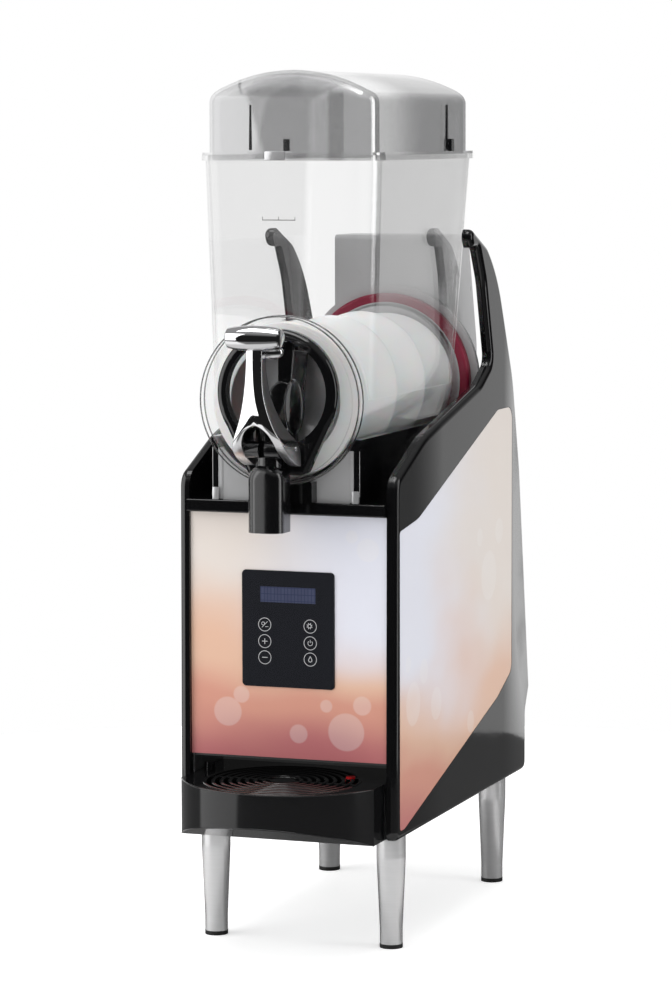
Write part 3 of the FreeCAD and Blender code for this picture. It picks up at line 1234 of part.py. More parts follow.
def make_shroud():
    side = "condenser_width / 2"
    face = block("shroud_face", ("-" + side, CONDENSER_REAR, FLOOR_TOP),
                 (side, MOTOR_FRONT, CONDENSER_TOP))
    lip = fan_rod("shroud_lip_ring", CONDENSER_REAR, CONDENSER_REAR + " + shroud_lip",
                  "fan_radius + fan_gap + shroud_thickness")
    mouth = fan_rod("shroud_mouth", CONDENSER_REAR + " - 1", CONDENSER_REAR + " + shroud_lip + 1",
                    "fan_radius + fan_gap")
    strut = block("shroud_strut_bar", ("-fan_radius - fan_gap - 1", CONDENSER_REAR,
                                       FAN_Z + " - shroud_strut / 2"),
                  ("fan_radius + fan_gap + 1", MOTOR_FRONT, FAN_Z + " + shroud_strut / 2"))
    return fuse("shroud_whole", [cut("shroud_open", fuse("shroud_body", [face, lip]), [mouth]),
                                 strut])


def make_fan():
    hub = fan_rod("fan_hub_disc", FAN_FRONT, FAN_FRONT + " + fan_depth", "fan_hub")
    axle = fan_rod("fan_axle_rod", FAN_FRONT + " - fan_axle_length", FAN_FRONT + " + 1",
                   "fan_axle")
    pieces = [hub, axle]
    for number in range(int(value("fan_blades"))):
        blade = doc.addObject("Part::Box", "blade%d" % number)
        bind(blade, "Length", "fan_radius - fan_hub + 2")
        bind(blade, "Width", "fan_depth")
        bind(blade, "Height", "fan_blade")
        place(blade, "0", "-fan_depth / 2", "-fan_blade / 2")
        tilted = doc.addObject("Part::Compound", "blade%d_tilted" % number)
        tilted.Links = [blade]
        tilted.Placement.Rotation = Rotation(Vector(1, 0, 0), value("fan_blade_tilt"))
        place(tilted, "fan_hub - 2", "0", "0")
        spun = doc.addObject("Part::Compound", "blade%d_spun" % number)
        spun.Links = [tilted]
        spun.Placement.Rotation = Rotation(Vector(0, 1, 0), 360 * number / value("fan_blades"))
        place(spun, "0", FAN_FRONT + " + fan_depth / 2", FAN_Z)
        pieces.append(spun)
    return fuse("fan_whole", pieces)


def make_fan_motor():
    can = fan_rod("fan_motor_can", MOTOR_FRONT, MOTOR_FRONT + " + fan_motor_depth",
                  "fan_motor_radius")
    bore = fan_rod("fan_motor_bore", FAN_FRONT + " - fan_axle_length - fan_motor_gap",
                   FAN_FRONT, "fan_axle + shaft_gap")
    return cut("fan_motor_cut", can, [bore])


def tube(name, points, bend, radius):
    """A tube on straight runs joined by arcs of one bend radius."""
    spots = [Vector(*[value(part) for part in point]) for point in points]
    edges = []
    here = spots[0]
    for before, corner, after in zip(spots, spots[1:], spots[2:]):
        inward = (before - corner).normalize()
        outward = (after - corner).normalize()
        half = inward.getAngle(outward) / 2
        reach = bend / math.tan(half)
        start = corner + inward * reach
        end = corner + outward * reach
        middle_way = (inward + outward).normalize()
        middle = corner + middle_way * (bend / math.sin(half) - bend)
        edges.append(Part.makeLine(here, start))
        edges.append(Part.Arc(start, middle, end).toShape())
        here = end
    edges.append(Part.makeLine(here, spots[-1]))
    path = Part.Wire(edges)
    ring = Part.Wire(Part.makeCircle(radius, spots[0], spots[1] - spots[0]))
    body = doc.addObject("Part::Feature", name)
    body.Shape = path.makePipeShell([ring], True, False)
    return body


def make_pipes():
    bend, radius = value("pipe_bend"), value("pipe_radius")
    inside_y = "(condenser_front_y + condenser_depth / 2)"
    over = CONDENSER_TOP + " + pipe_rise"
    under_deck = "deck_z - pipe_rise"
    from_pump = tube("pipe_from_pump",
                     [("compressor_x", "compressor_y", COMPRESSOR_TOP),
                      ("compressor_x", "compressor_y", over),
                      ("compressor_x", inside_y, over),
                      ("compressor_x", inside_y, CONDENSER_TOP)], bend, radius)
    to_bowl = tube("pipe_to_bowl",
                   [("pipe_x", inside_y, CONDENSER_TOP), ("pipe_x", inside_y, under_deck),
                    ("pipe_x", PIPE_Y, under_deck), ("pipe_x", PIPE_Y, "pipe_top_z"),
                    ("pipe_x", TOWER_INNER, "pipe_top_z")], bend, radius)
    dryer = rod("dryer", "z", ("pipe_x", inside_y, CONDENSER_TOP + " + dryer_lift"),
                "dryer_length", "dryer_radius")
    return fuse("pipes_whole", [from_pump, to_bowl, dryer])


keep("compressor", make_compressor())
keep("condenser", make_condenser())
keep("fan_shroud", make_shroud())
keep("fan_motor", make_fan_motor())
keep("fan", make_fan())
keep("refrigerant_pipes", make_pipes())

# Power board on the left wall, power inlet and screws of the rear panel


def make_power_board():
    wall = "-" + TUB_INNER
    face = wall + " + power_board_standoff"
    high_y = "power_board_y + power_board_length"
    high_z = "power_board_z + power_board_height"
    board = block("power_board_slab", (face, "power_board_y", "power_board_z"),
                  (face + " + board_thickness", high_y, high_z))
    posts = [rod("power_post%d" % number, "x",
                 (wall, "power_board_y + power_board_length * %s" % along,
                  "power_board_z + power_board_height * %s" % up),
                 "power_board_standoff + 1", "standoff_radius")
             for number, (along, up) in enumerate(((0.05, 0.05), (0.95, 0.05), (0.05, 0.95),
                                                   (0.95, 0.95)))]
    supply = block("power_supply", (face, "power_board_y + 10", "power_board_z + 10"),
                   (face + " + 30", "power_board_y + 70", "power_board_z + 60"))
    return fuse("power_board_whole", [board, supply] + posts)


def make_power_inlet():
    def box(name, grow, near, far):
        return block(name, ("socket_x - socket_width / 2 - (%s)" % grow, near,
                            "socket_z - socket_height / 2 - (%s)" % grow),
                     ("socket_x + socket_width / 2 + (%s)" % grow, far,
                      "socket_z + socket_height / 2 + (%s)" % grow))
    outer_y = REAR_FACE + " + socket_wall"
    body = box("socket_body", "0", REAR_FACE + " - socket_depth", REAR_FACE + " + 1")
    flange = box("socket_rim", "socket_flange", REAR_FACE, outer_y)
    pocket = box("socket_pocket_room", "-socket_wall", outer_y + " - socket_pocket",
                 outer_y + " + 1")
    pins = [rod("socket_pin%d" % number, "y",
                ("socket_x + %d * socket_pin_pitch" % number,
                 outer_y + " - socket_pocket - 1", "socket_z"),
                "socket_pin_length + 1", "socket_pin") for number in (-1, 0, 1)]
    hollow = cut("socket_hollow", fuse("socket_solid", [body, flange]), [pocket])
    return fuse("power_inlet_whole", [hollow] + pins)


def make_screws():
    shanks = screw_rods("screw_shank", "screw_radius")
    heads = [rod("screw_head%d" % number, "y", ("screw_x", REAR_FACE, z), "screw_height",
                 "screw_head")
             for number, z in enumerate(("screw_low_z", "screw_high_z"))]
    right = fuse("screws_right", shanks + heads)
    return fuse("screws_whole", [right, mirrored("screws_left", right)])


keep("power_board", make_power_board())
keep("power_inlet", make_power_inlet())
keep("rear_screws", make_screws())

# Every object has to be sound before any piece is written

doc.recompute()
faults = [thing.Name for thing in doc.Objects
          if "Invalid" in thing.State or "Error" in thing.State]
faults += [node for node, thing in nodes.items()
           if thing.Shape.isNull() or not thing.Shape.isValid() or not thing.Shape.Solids]
if faults:
    raise RuntimeError("not sound: " + ", ".join(faults))

os.makedirs("parts", exist_ok=True)
for node, thing in nodes.items():
    thing.Shape.exportStep("parts/%s.step" % node)
    print("%-22s %d solid(s), %9.1f cm3" % (node, len(thing.Shape.Solids),
                                            thing.Shape.Volume / 1000))
print(len(nodes), "pieces")
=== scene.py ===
import math
import bmesh
import bpy
from mathutils import Matrix, Vector


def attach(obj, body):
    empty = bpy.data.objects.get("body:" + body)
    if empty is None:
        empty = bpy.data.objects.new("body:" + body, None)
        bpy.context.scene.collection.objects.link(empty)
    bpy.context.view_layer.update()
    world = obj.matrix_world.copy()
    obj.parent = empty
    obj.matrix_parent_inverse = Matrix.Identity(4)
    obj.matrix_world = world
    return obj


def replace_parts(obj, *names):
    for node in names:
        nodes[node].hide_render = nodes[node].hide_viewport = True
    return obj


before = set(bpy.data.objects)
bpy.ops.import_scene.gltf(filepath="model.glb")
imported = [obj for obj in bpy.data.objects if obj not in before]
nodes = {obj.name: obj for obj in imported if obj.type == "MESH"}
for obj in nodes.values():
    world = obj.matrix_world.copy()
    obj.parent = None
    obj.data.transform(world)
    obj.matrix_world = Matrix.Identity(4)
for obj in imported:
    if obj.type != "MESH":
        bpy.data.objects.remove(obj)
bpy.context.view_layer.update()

# Studio: a round white floor that keeps the machine's shadow, a white wall far behind it,
# a dark room behind the camera, a large soft panel on each side and one overhead.
# The camera stands level with the lid, to the machine's right, and looks slightly down.


class Wire:
    """A value in a node tree. Arithmetic on it adds the Math nodes."""

    def __init__(self, tree, socket=None):
        self.tree = tree
        self.socket = socket

    def node(self, kind, settings=None, sockets=None, out=0):
        """A new node: its settings first, then the values or links of its sockets."""
        made = self.tree.nodes.new(kind)
        for name, setting in (settings or {}).items():
            setattr(made, name, setting)
        for name, given in (sockets or {}).items():
            if isinstance(given, Wire):
                self.tree.links.new(given.socket, made.inputs[name])
            else:
                made.inputs[name].default_value = given
        return Wire(self.tree, made.outputs[out])

    def maths(self, operation, *values):
        """One Math node on these values."""
        return self.node("ShaderNodeMath", {"operation": operation}, dict(enumerate(values)))

    def __add__(self, other):
        return self.maths("ADD", self, other)

    __radd__ = __add__

    def __sub__(self, other):
        return self.maths("SUBTRACT", self, other)

    def __rsub__(self, other):
        return self.maths("SUBTRACT", other, self)

    def __mul__(self, other):
        return self.maths("MULTIPLY", self, other)

    __rmul__ = __mul__

    def __truediv__(self, other):
        return self.maths("DIVIDE", self, other)

    def over(self, limit):
        """How far the value lies above a limit, and 0 below it."""
        return self.maths("MAXIMUM", self - limit, 0)

    def between(self, low, high):
        """0 below low, 1 above high, and smooth between them."""
        return self.node("ShaderNodeMapRange", {"interpolation_type": "SMOOTHSTEP"},
                         {"Value": self, "From Min": low, "From Max": high})

    def blend(self, first, second):
        """The first colour where this is 0, the second where it is 1."""
        # The Mix node's colours are its inputs 6 and 7 and its output 2.
        return self.node("ShaderNodeMix", {"data_type": "RGBA"}, {0: self, 6: first, 7: second}, 2)


scene = bpy.context.scene
scene.view_settings.view_transform = "Standard"

world = bpy.data.worlds.new("studio_room")
scene.world = world
world.use_nodes = True
room = Wire(world.node_tree)
VIEW_TURN = math.radians(19.78)
VIEW_TILT = math.radians(5.88)
AWAY = (-math.sin(VIEW_TURN), math.cos(VIEW_TURN), 0)
ROOM_LIGHT = 0.58
DARK_ROOM = 0.012
CEILING_GLOW = 0.3
# Plain light falls evenly. In a mirror the room is dark but for the far wall and the ceiling.
ray = room.node("ShaderNodeTexCoord")
toward_wall = room.node("ShaderNodeVectorMath", {"operation": "DOT_PRODUCT"},
                        {0: ray, 1: AWAY}, "Value")
upward = room.node("ShaderNodeVectorMath", {"operation": "DOT_PRODUCT"},
                   {0: ray, 1: (0, 0, 1)}, "Value")
wall_glow = DARK_ROOM + (1 - DARK_ROOM) * toward_wall.between(0.6, 0.97)
mirrored_room = wall_glow.maths("MAXIMUM", wall_glow, CEILING_GLOW * upward.between(0.25, 0.8))
seen = room.node("ShaderNodeLightPath", out="Is Camera Ray")
through = room.node("ShaderNodeLightPath", out="Is Transmission Ray")
mirrored = room.node("ShaderNodeLightPath", out="Is Glossy Ray")
open_view = seen.maths("MAXIMUM", seen, through)
level = open_view + (1 - open_view) * (mirrored * mirrored_room + (1 - mirrored) * ROOM_LIGHT)
backdrop = world.node_tree.nodes["Background"]
backdrop.inputs["Color"].default_value = (1, 1, 1, 1)
world.node_tree.links.new(level.socket, backdrop.inputs["Strength"])


def lamp(name, place, target, width, height, power):
    """A soft panel of light, its size in metres."""
    light = bpy.data.lights.new(name, "AREA")
    light.shape = "RECTANGLE"
    light.size = width
    light.size_y = height
    light.energy = power
    holder = bpy.data.objects.new(name, light)
    holder.location = place
    holder.rotation_euler = (Vector(target) - Vector(place)).to_track_quat("-Z", "Y").to_euler()
    scene.collection.objects.link(holder)


MIDDLE = (0, 0, 0.42)
lamp("soft_left", (-2.1, -1.25, 0.9), MIDDLE, 2.6, 2.8, 42)
lamp("soft_right", (2.5, 0.15, 0.95), MIDDLE, 0.9, 2.9, 17)
lamp("soft_top", (-0.2, -0.6, 2.6), (0, 0, 0.3), 1.8, 1.2, 25)


def new_finish(name, base, rough, metal=0.0, **sockets):
    """A material on one Principled shader, and a wire to build its pattern with."""
    material = bpy.data.materials.new(name)
    material.use_nodes = True
    shader = material.node_tree.nodes["Principled BSDF"]
    shader.inputs["Base Color"].default_value = (*base, 1)
    shader.inputs["Roughness"].default_value = rough
    shader.inputs["Metallic"].default_value = metal
    for key, given in sockets.items():
        shader.inputs[key.replace("_", " ")].default_value = given
    return material, Wire(material.node_tree), shader


def feed(shader, socket, wire):
    """Lets a pattern drive one socket of a shader."""
    wire.tree.links.new(wire.socket, shader.inputs[socket])


def object_place(wire):
    """The place on the machine, in metres."""
    return wire.node("ShaderNodeTexCoord", out="Object")


def place_along(wire, axis):
    """The same place along X, Y or Z alone."""
    return wire.node("ShaderNodeSeparateXYZ", {}, {0: object_place(wire)}, "XYZ".index(axis))


FLOOR_WHITE = (0.93, 0.93, 0.93, 1)
MIRRORED_DARK = (0.13, 0.13, 0.13, 1)
MIRRORED_BRIGHT = (0.85, 0.85, 0.85, 1)
FLOOR_RADIUS = 1.15
LEG_LINE = 0.2
POOL_INNER, POOL_OUTER = 0.17, 0.3
FAN_EDGE = (0.809, 0.588)
white_floor, wire, shader = new_finish("white_floor", FLOOR_WHITE[:3], 0.6)
shader.inputs["Specular IOR Level"].default_value = 0.1
shader.inputs["Emission Strength"].default_value = 1.0
by_camera = wire.node("ShaderNodeLightPath", out="Is Camera Ray")
by_mirror = wire.node("ShaderNodeLightPath", out="Is Glossy Ray")
feed(shader, "Emission Color", by_camera.blend((0, 0, 0, 1), (0.5, 0.5, 0.5, 1)))
# Painted light and shade in the floor's colour, seen only by the gloss pieces' mirror rays: a
# painted pool of light round the front legs (its limits are squared radii), a painted bright fan
# to the left, and painted shade farther out and right below the machine.
across = place_along(wire, "X")
ahead = 0 - place_along(wire, "Y") - LEG_LINE
near = 1 - (across * across + ahead * ahead).between(POOL_INNER, POOL_OUTER)
painted_left_fan = (0 - FAN_EDGE[0] * across - FAN_EDGE[1] * ahead).between(-0.02, 0.06)
painted_left_fan = painted_left_fan * ahead.between(0.0, 0.08)
floor_painted_light = near.maths("MAXIMUM", near, painted_left_fan)
floor_painted_light = floor_painted_light * (1 - 0.35 * near)
below = 1 - across.maths("ABSOLUTE", across).between(0.2, 0.24)
below = below * (1 - ahead.between(-0.1, -0.06))
floor_painted_light = floor_painted_light * (1 - below)
painted_floor_reflection = floor_painted_light.blend(MIRRORED_DARK, MIRRORED_BRIGHT)
feed(shader, "Base Color", by_mirror.blend(FLOOR_WHITE, painted_floor_reflection))
bm = bmesh.new()
bmesh.ops.create_circle(bm, cap_ends=True, segments=96, radius=FLOOR_RADIUS)
floor_mesh = bpy.data.meshes.new("studio_floor")
bm.to_mesh(floor_mesh)
bm.free()
floor_mesh.materials.append(white_floor)
floor = bpy.data.objects.new("studio_floor", floor_mesh)
scene.collection.objects.link(floor)

camera = bpy.data.cameras.new("view")
camera.lens = 128.957
camera.sensor_width = 36
ROLL = math.radians(0.14)
eye = bpy.data.objects.new("view", camera)
eye.location = (1.18216, -3.31534, 0.77731)
eye.rotation_euler = (math.pi / 2 - VIEW_TILT, ROLL, VIEW_TURN)
scene.collection.objects.link(eye)
scene.camera = eye

# Side shells: two thick mouldings in high-gloss black plastic that end in a hooked fin behind
# the bowl. They screw to the steel tub from inside, and their wide faces roll in slightly
# toward the front and the rear edge.


def coat(material, *names):
    """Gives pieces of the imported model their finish."""
    for name in names:
        thing = nodes[name]
        thing.data.materials.clear()
        thing.data.materials.append(material)


def grain(wire, size, detail=2.0, stretch=(1, 1, 1)):
    """Noise whose largest features are about size millimetres across."""
    place = wire.node("ShaderNodeMapping", {}, {"Vector": object_place(wire), "Scale": stretch})
    return wire.node("ShaderNodeTexNoise", {}, {"Vector": place, "Scale": 1000 / size,
                                                 "Detail": detail}, "Fac")


def raise_surface(shader, height, depth):
    """Bumps a surface by a height pattern, depth millimetres from lowest to highest."""
    bump = height.node("ShaderNodeBump", {}, {"Height": height, "Distance": depth * 0.001,
                                              "Strength": 1.0})
    feed(shader, "Normal", bump)


BLACK = (0.0045, 0.0045, 0.005)
FRONT_ROLL_FROM, REAR_ROLL_FROM = 0.03, 0.17
shell_gloss, wire, shader = new_finish("shell_gloss", BLACK, 0.07, Coat_Weight=0.3,
                                       Coat_Roughness=0.03)
wiped = grain(wire, 60, 3)
feed(shader, "Roughness", 0.05 + 0.07 * wiped.between(0.35, 0.8))
depth = place_along(wire, "Y")
front_roll = (0 - depth).over(FRONT_ROLL_FROM)
rear_roll = depth.over(REAR_ROLL_FROM)
low_share = place_along(wire, "Z").between(0.08, 0.36)
fall = 0.62 * front_roll * front_roll + (0.6 + 1.4 * low_share) * rear_roll * rear_roll
raise_surface(shader, 0.00002 * grain(wire, 5, 1) - fall, 1000)
coat(shell_gloss, "side_shell_right", "side_shell_left")

# Picture panels: thin sheets printed with a soft drift of warm colour and a few pale rounds of
# light under a gloss film, glued into a shallow inset of each shell and over the whole front.

PEACH = (0.86, 0.55, 0.40, 1)
CREAM = (0.87, 0.79, 0.73, 1)
LILAC = (0.86, 0.87, 0.96, 1)
ROSE = (0.56, 0.18, 0.19, 1)
SALMON = (0.76, 0.36, 0.27, 1)
PALE = (0.96, 0.93, 0.91, 1)
ROUND_SHOWS, ROUND_EDGE = 0.22, 0.002


def picture_finish(name, axis, near, far, low, high, tilt, rounds):
    """A drift of colour from rose below to lilac above. The rounds are (along, up, radius)."""
    material, wire, shader = new_finish(name, CREAM[:3], 0.22, Coat_Weight=0.25,
                                        Coat_Roughness=0.08)
    along = place_along(wire, axis)
    up = place_along(wire, "Z")
    side = (along - near) / (far - near)
    cloud = grain(wire, 150, 1.5, (1, 1, 1.8)) - 0.5
    rise = (up - low) / (high - low) + tilt * side + 0.3 * cloud
    left = rise.between(0.02, 0.2).blend(ROSE, SALMON)
    left = rise.between(0.2, 0.4).blend(left, PEACH)
    left = rise.between(0.5, 0.8).blend(left, CREAM)
    right = rise.between(0.0, 0.22).blend(ROSE, SALMON)
    right = rise.between(0.22, 0.36).blend(right, PEACH)
    right = rise.between(0.32, 0.55).blend(right, LILAC)
    drift = (side + 0.5 * cloud).between(0.15, 0.85).blend(left, right)
    for centre_along, centre_up, radius in rounds:
        dx, dz = along - centre_along, up - centre_up
        square = dx * dx + dz * dz
        disc = 1 - square.maths("SQRT", square).between(radius - ROUND_EDGE, radius)
        drift = (ROUND_SHOWS * disc).blend(drift, PALE)
    feed(shader, "Base Color", drift)
    feed(shader, "Roughness", 0.18 + 0.08 * grain(wire, 25, 3))
    raise_surface(shader, grain(wire, 1.2, 1), 0.012)
    return material


FRONT_ROUNDS = ((-0.062, 0.226, 0.015), (-0.048, 0.243, 0.009), (0.058, 0.212, 0.019),
                (0.074, 0.238, 0.010), (0.038, 0.236, 0.007), (0.010, 0.208, 0.010),
                (0.080, 0.386, 0.012), (0.064, 0.398, 0.007))
SIDE_ROUNDS = ((-0.120, 0.235, 0.022), (-0.088, 0.262, 0.013), (-0.135, 0.275, 0.009),
               (-0.050, 0.225, 0.017), (0.120, 0.330, 0.026), (0.155, 0.372, 0.014),
               (0.090, 0.372, 0.010), (0.060, 0.190, 0.012))
front_picture = picture_finish("front_picture", "X", near=-0.099, far=0.099, low=0.184,
                               high=0.417, tilt=0.0, rounds=FRONT_ROUNDS)
side_picture = picture_finish("side_picture", "Y", near=0.2, far=-0.16, low=0.0, high=0.4,
                              tilt=-0.22, rounds=SIDE_ROUNDS)
coat(front_picture, "front_panel")
coat(side_picture, "side_panel_right", "side_panel_left")

# Control glass: a black glass plate let into the front panel. A dark blue character display
# shows through its top, and six touch marks are printed on its face.


def cell_pattern(wire, first, second, between, offset, joint, width, height):
    """Upright cells of two colours with a third between them, sizes in metres."""
    upright = wire.node("ShaderNodeMapping", {}, {"Vector": object_place(wire),
                                                  "Rotation": (math.pi / 2, 0, 0)})
    sizes = {"Scale": 1.0, "Mortar Size": joint, "Brick Width": width, "Row Height": height}
    colours = {"Color1": first, "Color2": second, "Mortar": between}
    return wire.node("ShaderNodeTexBrick", {"offset": offset},
                     {"Vector": upright, **sizes, **colours}, "Color")


GLASS_BLACK = (0.017, 0.018, 0.022, 1)
DISPLAY_HALF, DISPLAY_LOW, DISPLAY_HIGH, DISPLAY_EDGE = 0.0275, 0.3328, 0.3476, 0.0006
control_glass, wire, shader = new_finish("control_glass", GLASS_BLACK[:3], 0.05,
                                         Coat_Weight=0.6, Coat_Roughness=0.02)
across = place_along(wire, "X")
up = place_along(wire, "Z")
inside = 1 - across.maths("ABSOLUTE", across).between(DISPLAY_HALF, DISPLAY_HALF + DISPLAY_EDGE)
inside = inside * up.between(DISPLAY_LOW, DISPLAY_LOW + DISPLAY_EDGE)
inside = inside * (1 - up.between(DISPLAY_HIGH, DISPLAY_HIGH + DISPLAY_EDGE))
cells = cell_pattern(wire, (0.038, 0.043, 0.075, 1), (0.041, 0.047, 0.081, 1),
                     (0.022, 0.027, 0.055, 1), offset=0.0, joint=0.0003, width=0.0034,
                     height=0.0062)
feed(shader, "Base Color", inside.blend(GLASS_BLACK, cells))
feed(shader, "Emission Color", inside.blend((0, 0, 0, 1), cells))
shader.inputs["Emission Strength"].default_value = 0.6
feed(shader, "Roughness", 0.04 + 0.05 * grain(wire, 30, 3))
coat(control_glass, "control_glass")


def piece(name, bm, material, body, smooth=35):
    """Turns a bmesh drawn in millimetres into an object that rides on a body."""
    bmesh.ops.scale(bm, vec=(0.001, 0.001, 0.001), verts=bm.verts)
    mesh = bpy.data.meshes.new(name)
    bm.to_mesh(mesh)
    bm.free()
    made = bpy.data.objects.new(name, mesh)
    scene.collection.objects.link(made)
    mesh.materials.append(material)
    mesh.shade_smooth()
    mesh.set_sharp_from_angle(angle=math.radians(smooth))
    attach(made, body)
    return made


def block(bm, centre, size, turn=None):
    """A box by its centre and size."""
    made = bmesh.ops.create_cube(bm, size=1.0)["verts"]
    bmesh.ops.scale(bm, vec=size, verts=made)
    if turn:
        bmesh.ops.rotate(bm, cent=(0, 0, 0), matrix=turn, verts=made)
    bmesh.ops.translate(bm, vec=centre, verts=made)
    return made


PRINT_DEPTH = 0.12


def stroke(bm, ends, width, face_y):
    """A thin printed bar between two points of the front, given as (x, z)."""
    (x0, z0), (x1, z1) = ends
    length = math.hypot(x1 - x0, z1 - z0)
    block(bm, ((x0 + x1) / 2, face_y - PRINT_DEPTH / 2, (z0 + z1) / 2),
          (length + width, PRINT_DEPTH, width),
          Matrix.Rotation(-math.atan2(z1 - z0, x1 - x0), 3, "Y"))


def turn_line(bm, points, closed, centre, axis, angle=2 * math.pi, steps=72, climb=(0, 0, 0)):
    """Turns a line of points round an axis into a surface. A closed line joins its ends."""
    verts = [bm.verts.new(point) for point in points]
    pairs = list(zip(verts, verts[1:] + verts[:1])) if closed else list(zip(verts, verts[1:]))
    edges = [bm.edges.new(pair) for pair in pairs]
    bmesh.ops.spin(bm, geom=verts + edges, cent=centre, axis=axis, dvec=climb, angle=angle,
                   steps=steps, use_merge=math.isclose(angle, 2 * math.pi))


def hoop(bm, centre, radius, width, face_y, sweep=360, start=0):
    """A thin printed circle or arc on the front, about a point given as (x, z)."""
    x, z = centre
    turn = math.radians(start)
    near = radius - width / 2
    far = near + width
    corners = ((near, 0), (far, 0), (far, PRINT_DEPTH), (near, PRINT_DEPTH))
    rim = [(x + out * math.cos(turn), face_y - dy, z + out * math.sin(turn))
           for out, dy in corners]
    turn_line(bm, rim, True, (x, 0, z), (0, -1, 0), math.radians(sweep), sweep // 10)


GLASS_FACE = -166.2
BUTTON_COLUMNS = (-23.5, 22.5)
BUTTON_ROWS = (311.5, 295.5, 280.0)
BUTTON_RADIUS = 6.3
THIN, LINE, BOLD = 0.45, 0.5, 0.6
mark_white, wire, shader = new_finish("mark_white", (0.62, 0.62, 0.63), 0.45)
feed(shader, "Roughness", 0.4 + 0.15 * grain(wire, 3, 2))
bm = bmesh.new()
for x in BUTTON_COLUMNS:
    for z in BUTTON_ROWS:
        hoop(bm, (x, z), BUTTON_RADIUS, LINE, GLASS_FACE)
left, right = BUTTON_COLUMNS
top, middle, low = BUTTON_ROWS
hoop(bm, (left - 1.6, top + 0.9), 1.5, THIN, GLASS_FACE)
stroke(bm, ((left - 2.6, top - 2.6), (left + 2.6, top + 2.8)), THIN, GLASS_FACE)
stroke(bm, ((left + 0.9, top - 2.0), (left + 3.4, top - 2.0)), THIN, GLASS_FACE)
stroke(bm, ((left - 2.4, middle), (left + 2.4, middle)), BOLD, GLASS_FACE)
stroke(bm, ((left, middle - 2.4), (left, middle + 2.4)), BOLD, GLASS_FACE)
stroke(bm, ((left - 2.4, low), (left + 2.4, low)), BOLD, GLASS_FACE)
hoop(bm, (right - 0.6, top + 0.4), 1.6, LINE, GLASS_FACE)
for number in range(8):
    turn = math.radians(45 * number + 22.5)
    ray_ends = [(right - 0.6 + reach * math.cos(turn), top + 0.4 + reach * math.sin(turn))
                for reach in (2.0, 2.7)]
    stroke(bm, ray_ends, BOLD, GLASS_FACE)
hoop(bm, (right, middle), 2.3, LINE, GLASS_FACE, sweep=280, start=130)
stroke(bm, ((right, middle + 0.6), (right, middle + 2.9)), LINE, GLASS_FACE)
hoop(bm, (right, low - 0.7), 1.7, BOLD, GLASS_FACE, sweep=220, start=160)
stroke(bm, ((right - 1.6, low - 0.1), (right, low + 2.9)), BOLD, GLASS_FACE)
stroke(bm, ((right + 1.6, low - 0.1), (right, low + 2.9)), BOLD, GLASS_FACE)
bmesh.ops.recalc_face_normals(bm, faces=bm.faces)
piece("touch_marks", bm, mark_white, "housing")

# Display and boards: the display module stands behind the glass on a green circuit board with
# printed tracks. The power board is held on posts to the tub's left wall.

display_frame, wire, shader = new_finish("display_frame", (0.02, 0.03, 0.1), 0.3)
feed(shader, "Roughness", 0.25 + 0.2 * grain(wire, 4, 2))
coat(display_frame, "display_module")

circuit_green, wire, shader = new_finish("circuit_green", (0.01, 0.11, 0.04), 0.4)
tracks = cell_pattern(wire, (0.01, 0.10, 0.04, 1), (0.012, 0.13, 0.05, 1), (0.03, 0.2, 0.08, 1),
                      offset=0.5, joint=0.0005, width=0.013, height=0.006)
feed(shader, "Base Color", tracks)
feed(shader, "Roughness", 0.3 + 0.2 * grain(wire, 6, 2))
coat(circuit_green, "control_board", "power_board")

# Steel tub and fan shroud: thin zinc-plated sheet, cut and folded, with the flowered grain of
# the plating. The tub carries everything else.

zinc_plate, wire, shader = new_finish("zinc_plate", (0.42, 0.43, 0.44), 0.35, 1.0)
flower = wire.node("ShaderNodeTexVoronoi", {}, {"Vector": object_place(wire), "Scale": 90.0},
                   "Color")
flower = wire.node("ShaderNodeSeparateColor", {}, {0: flower})
feed(shader, "Base Color", flower.blend((0.36, 0.37, 0.38, 1), (0.5, 0.51, 0.52, 1)))
feed(shader, "Roughness", 0.28 + 0.2 * flower)
coat(zinc_plate, "chassis_tub", "fan_shroud")

# Rear panel and compressor: pressed sheet steel in black powder coat, with its orange-peel
# surface. Four screws hold the panel to the tub's flanges, and the compressor is a welded pot.

powder_black, wire, shader = new_finish("powder_black", (0.010, 0.010, 0.011), 0.42)
feed(shader, "Roughness", 0.36 + 0.16 * grain(wire, 2, 3))
raise_surface(shader, grain(wire, 0.9, 1), 0.03)
coat(powder_black, "rear_panel", "compressor")

# Gloss pieces: trim bar, cradle, stop, tap, tray, grille and the auger's arm are moulded in the
# same black plastic as the shells, and the steel deck is lacquered to match. The spout is a
# little duller, and the lid's clips, the inlet and the fan are satin.

black_gloss, wire, shader = new_finish("black_gloss", BLACK, 0.08, Coat_Weight=0.3,
                                       Coat_Roughness=0.03)
feed(shader, "Roughness", 0.05 + 0.08 * grain(wire, 30, 3).between(0.35, 0.8))
raise_surface(shader, grain(wire, 14, 1), 0.004)
coat(black_gloss, "deck_plate", "bowl_cradle", "bowl_stop", "tap_bezel", "tap_cap",
     "drip_tray", "drip_grille", "auger_arm", "trim_bar")

SPOUT_RIDGE_X, SPOUT_CROWN = 0.008, 10.3
spout_gloss, wire, shader = new_finish("spout_gloss", BLACK, 0.14, Coat_Weight=1.0,
                                       Coat_Roughness=0.1)
feed(shader, "Roughness", 0.12 + 0.06 * grain(wire, 20, 2))
off_ridge = place_along(wire, "X") - SPOUT_RIDGE_X
raise_surface(shader, 0 - SPOUT_CROWN * off_ridge * off_ridge, 1000)
coat(spout_gloss, "tap_body")

black_satin, wire, shader = new_finish("black_satin", (0.008, 0.008, 0.009), 0.3)
feed(shader, "Roughness", 0.2 + 0.14 * grain(wire, 12, 3))
raise_surface(shader, grain(wire, 0.7, 1), 0.012)
coat(black_satin, "lid_clips", "power_inlet", "fan")
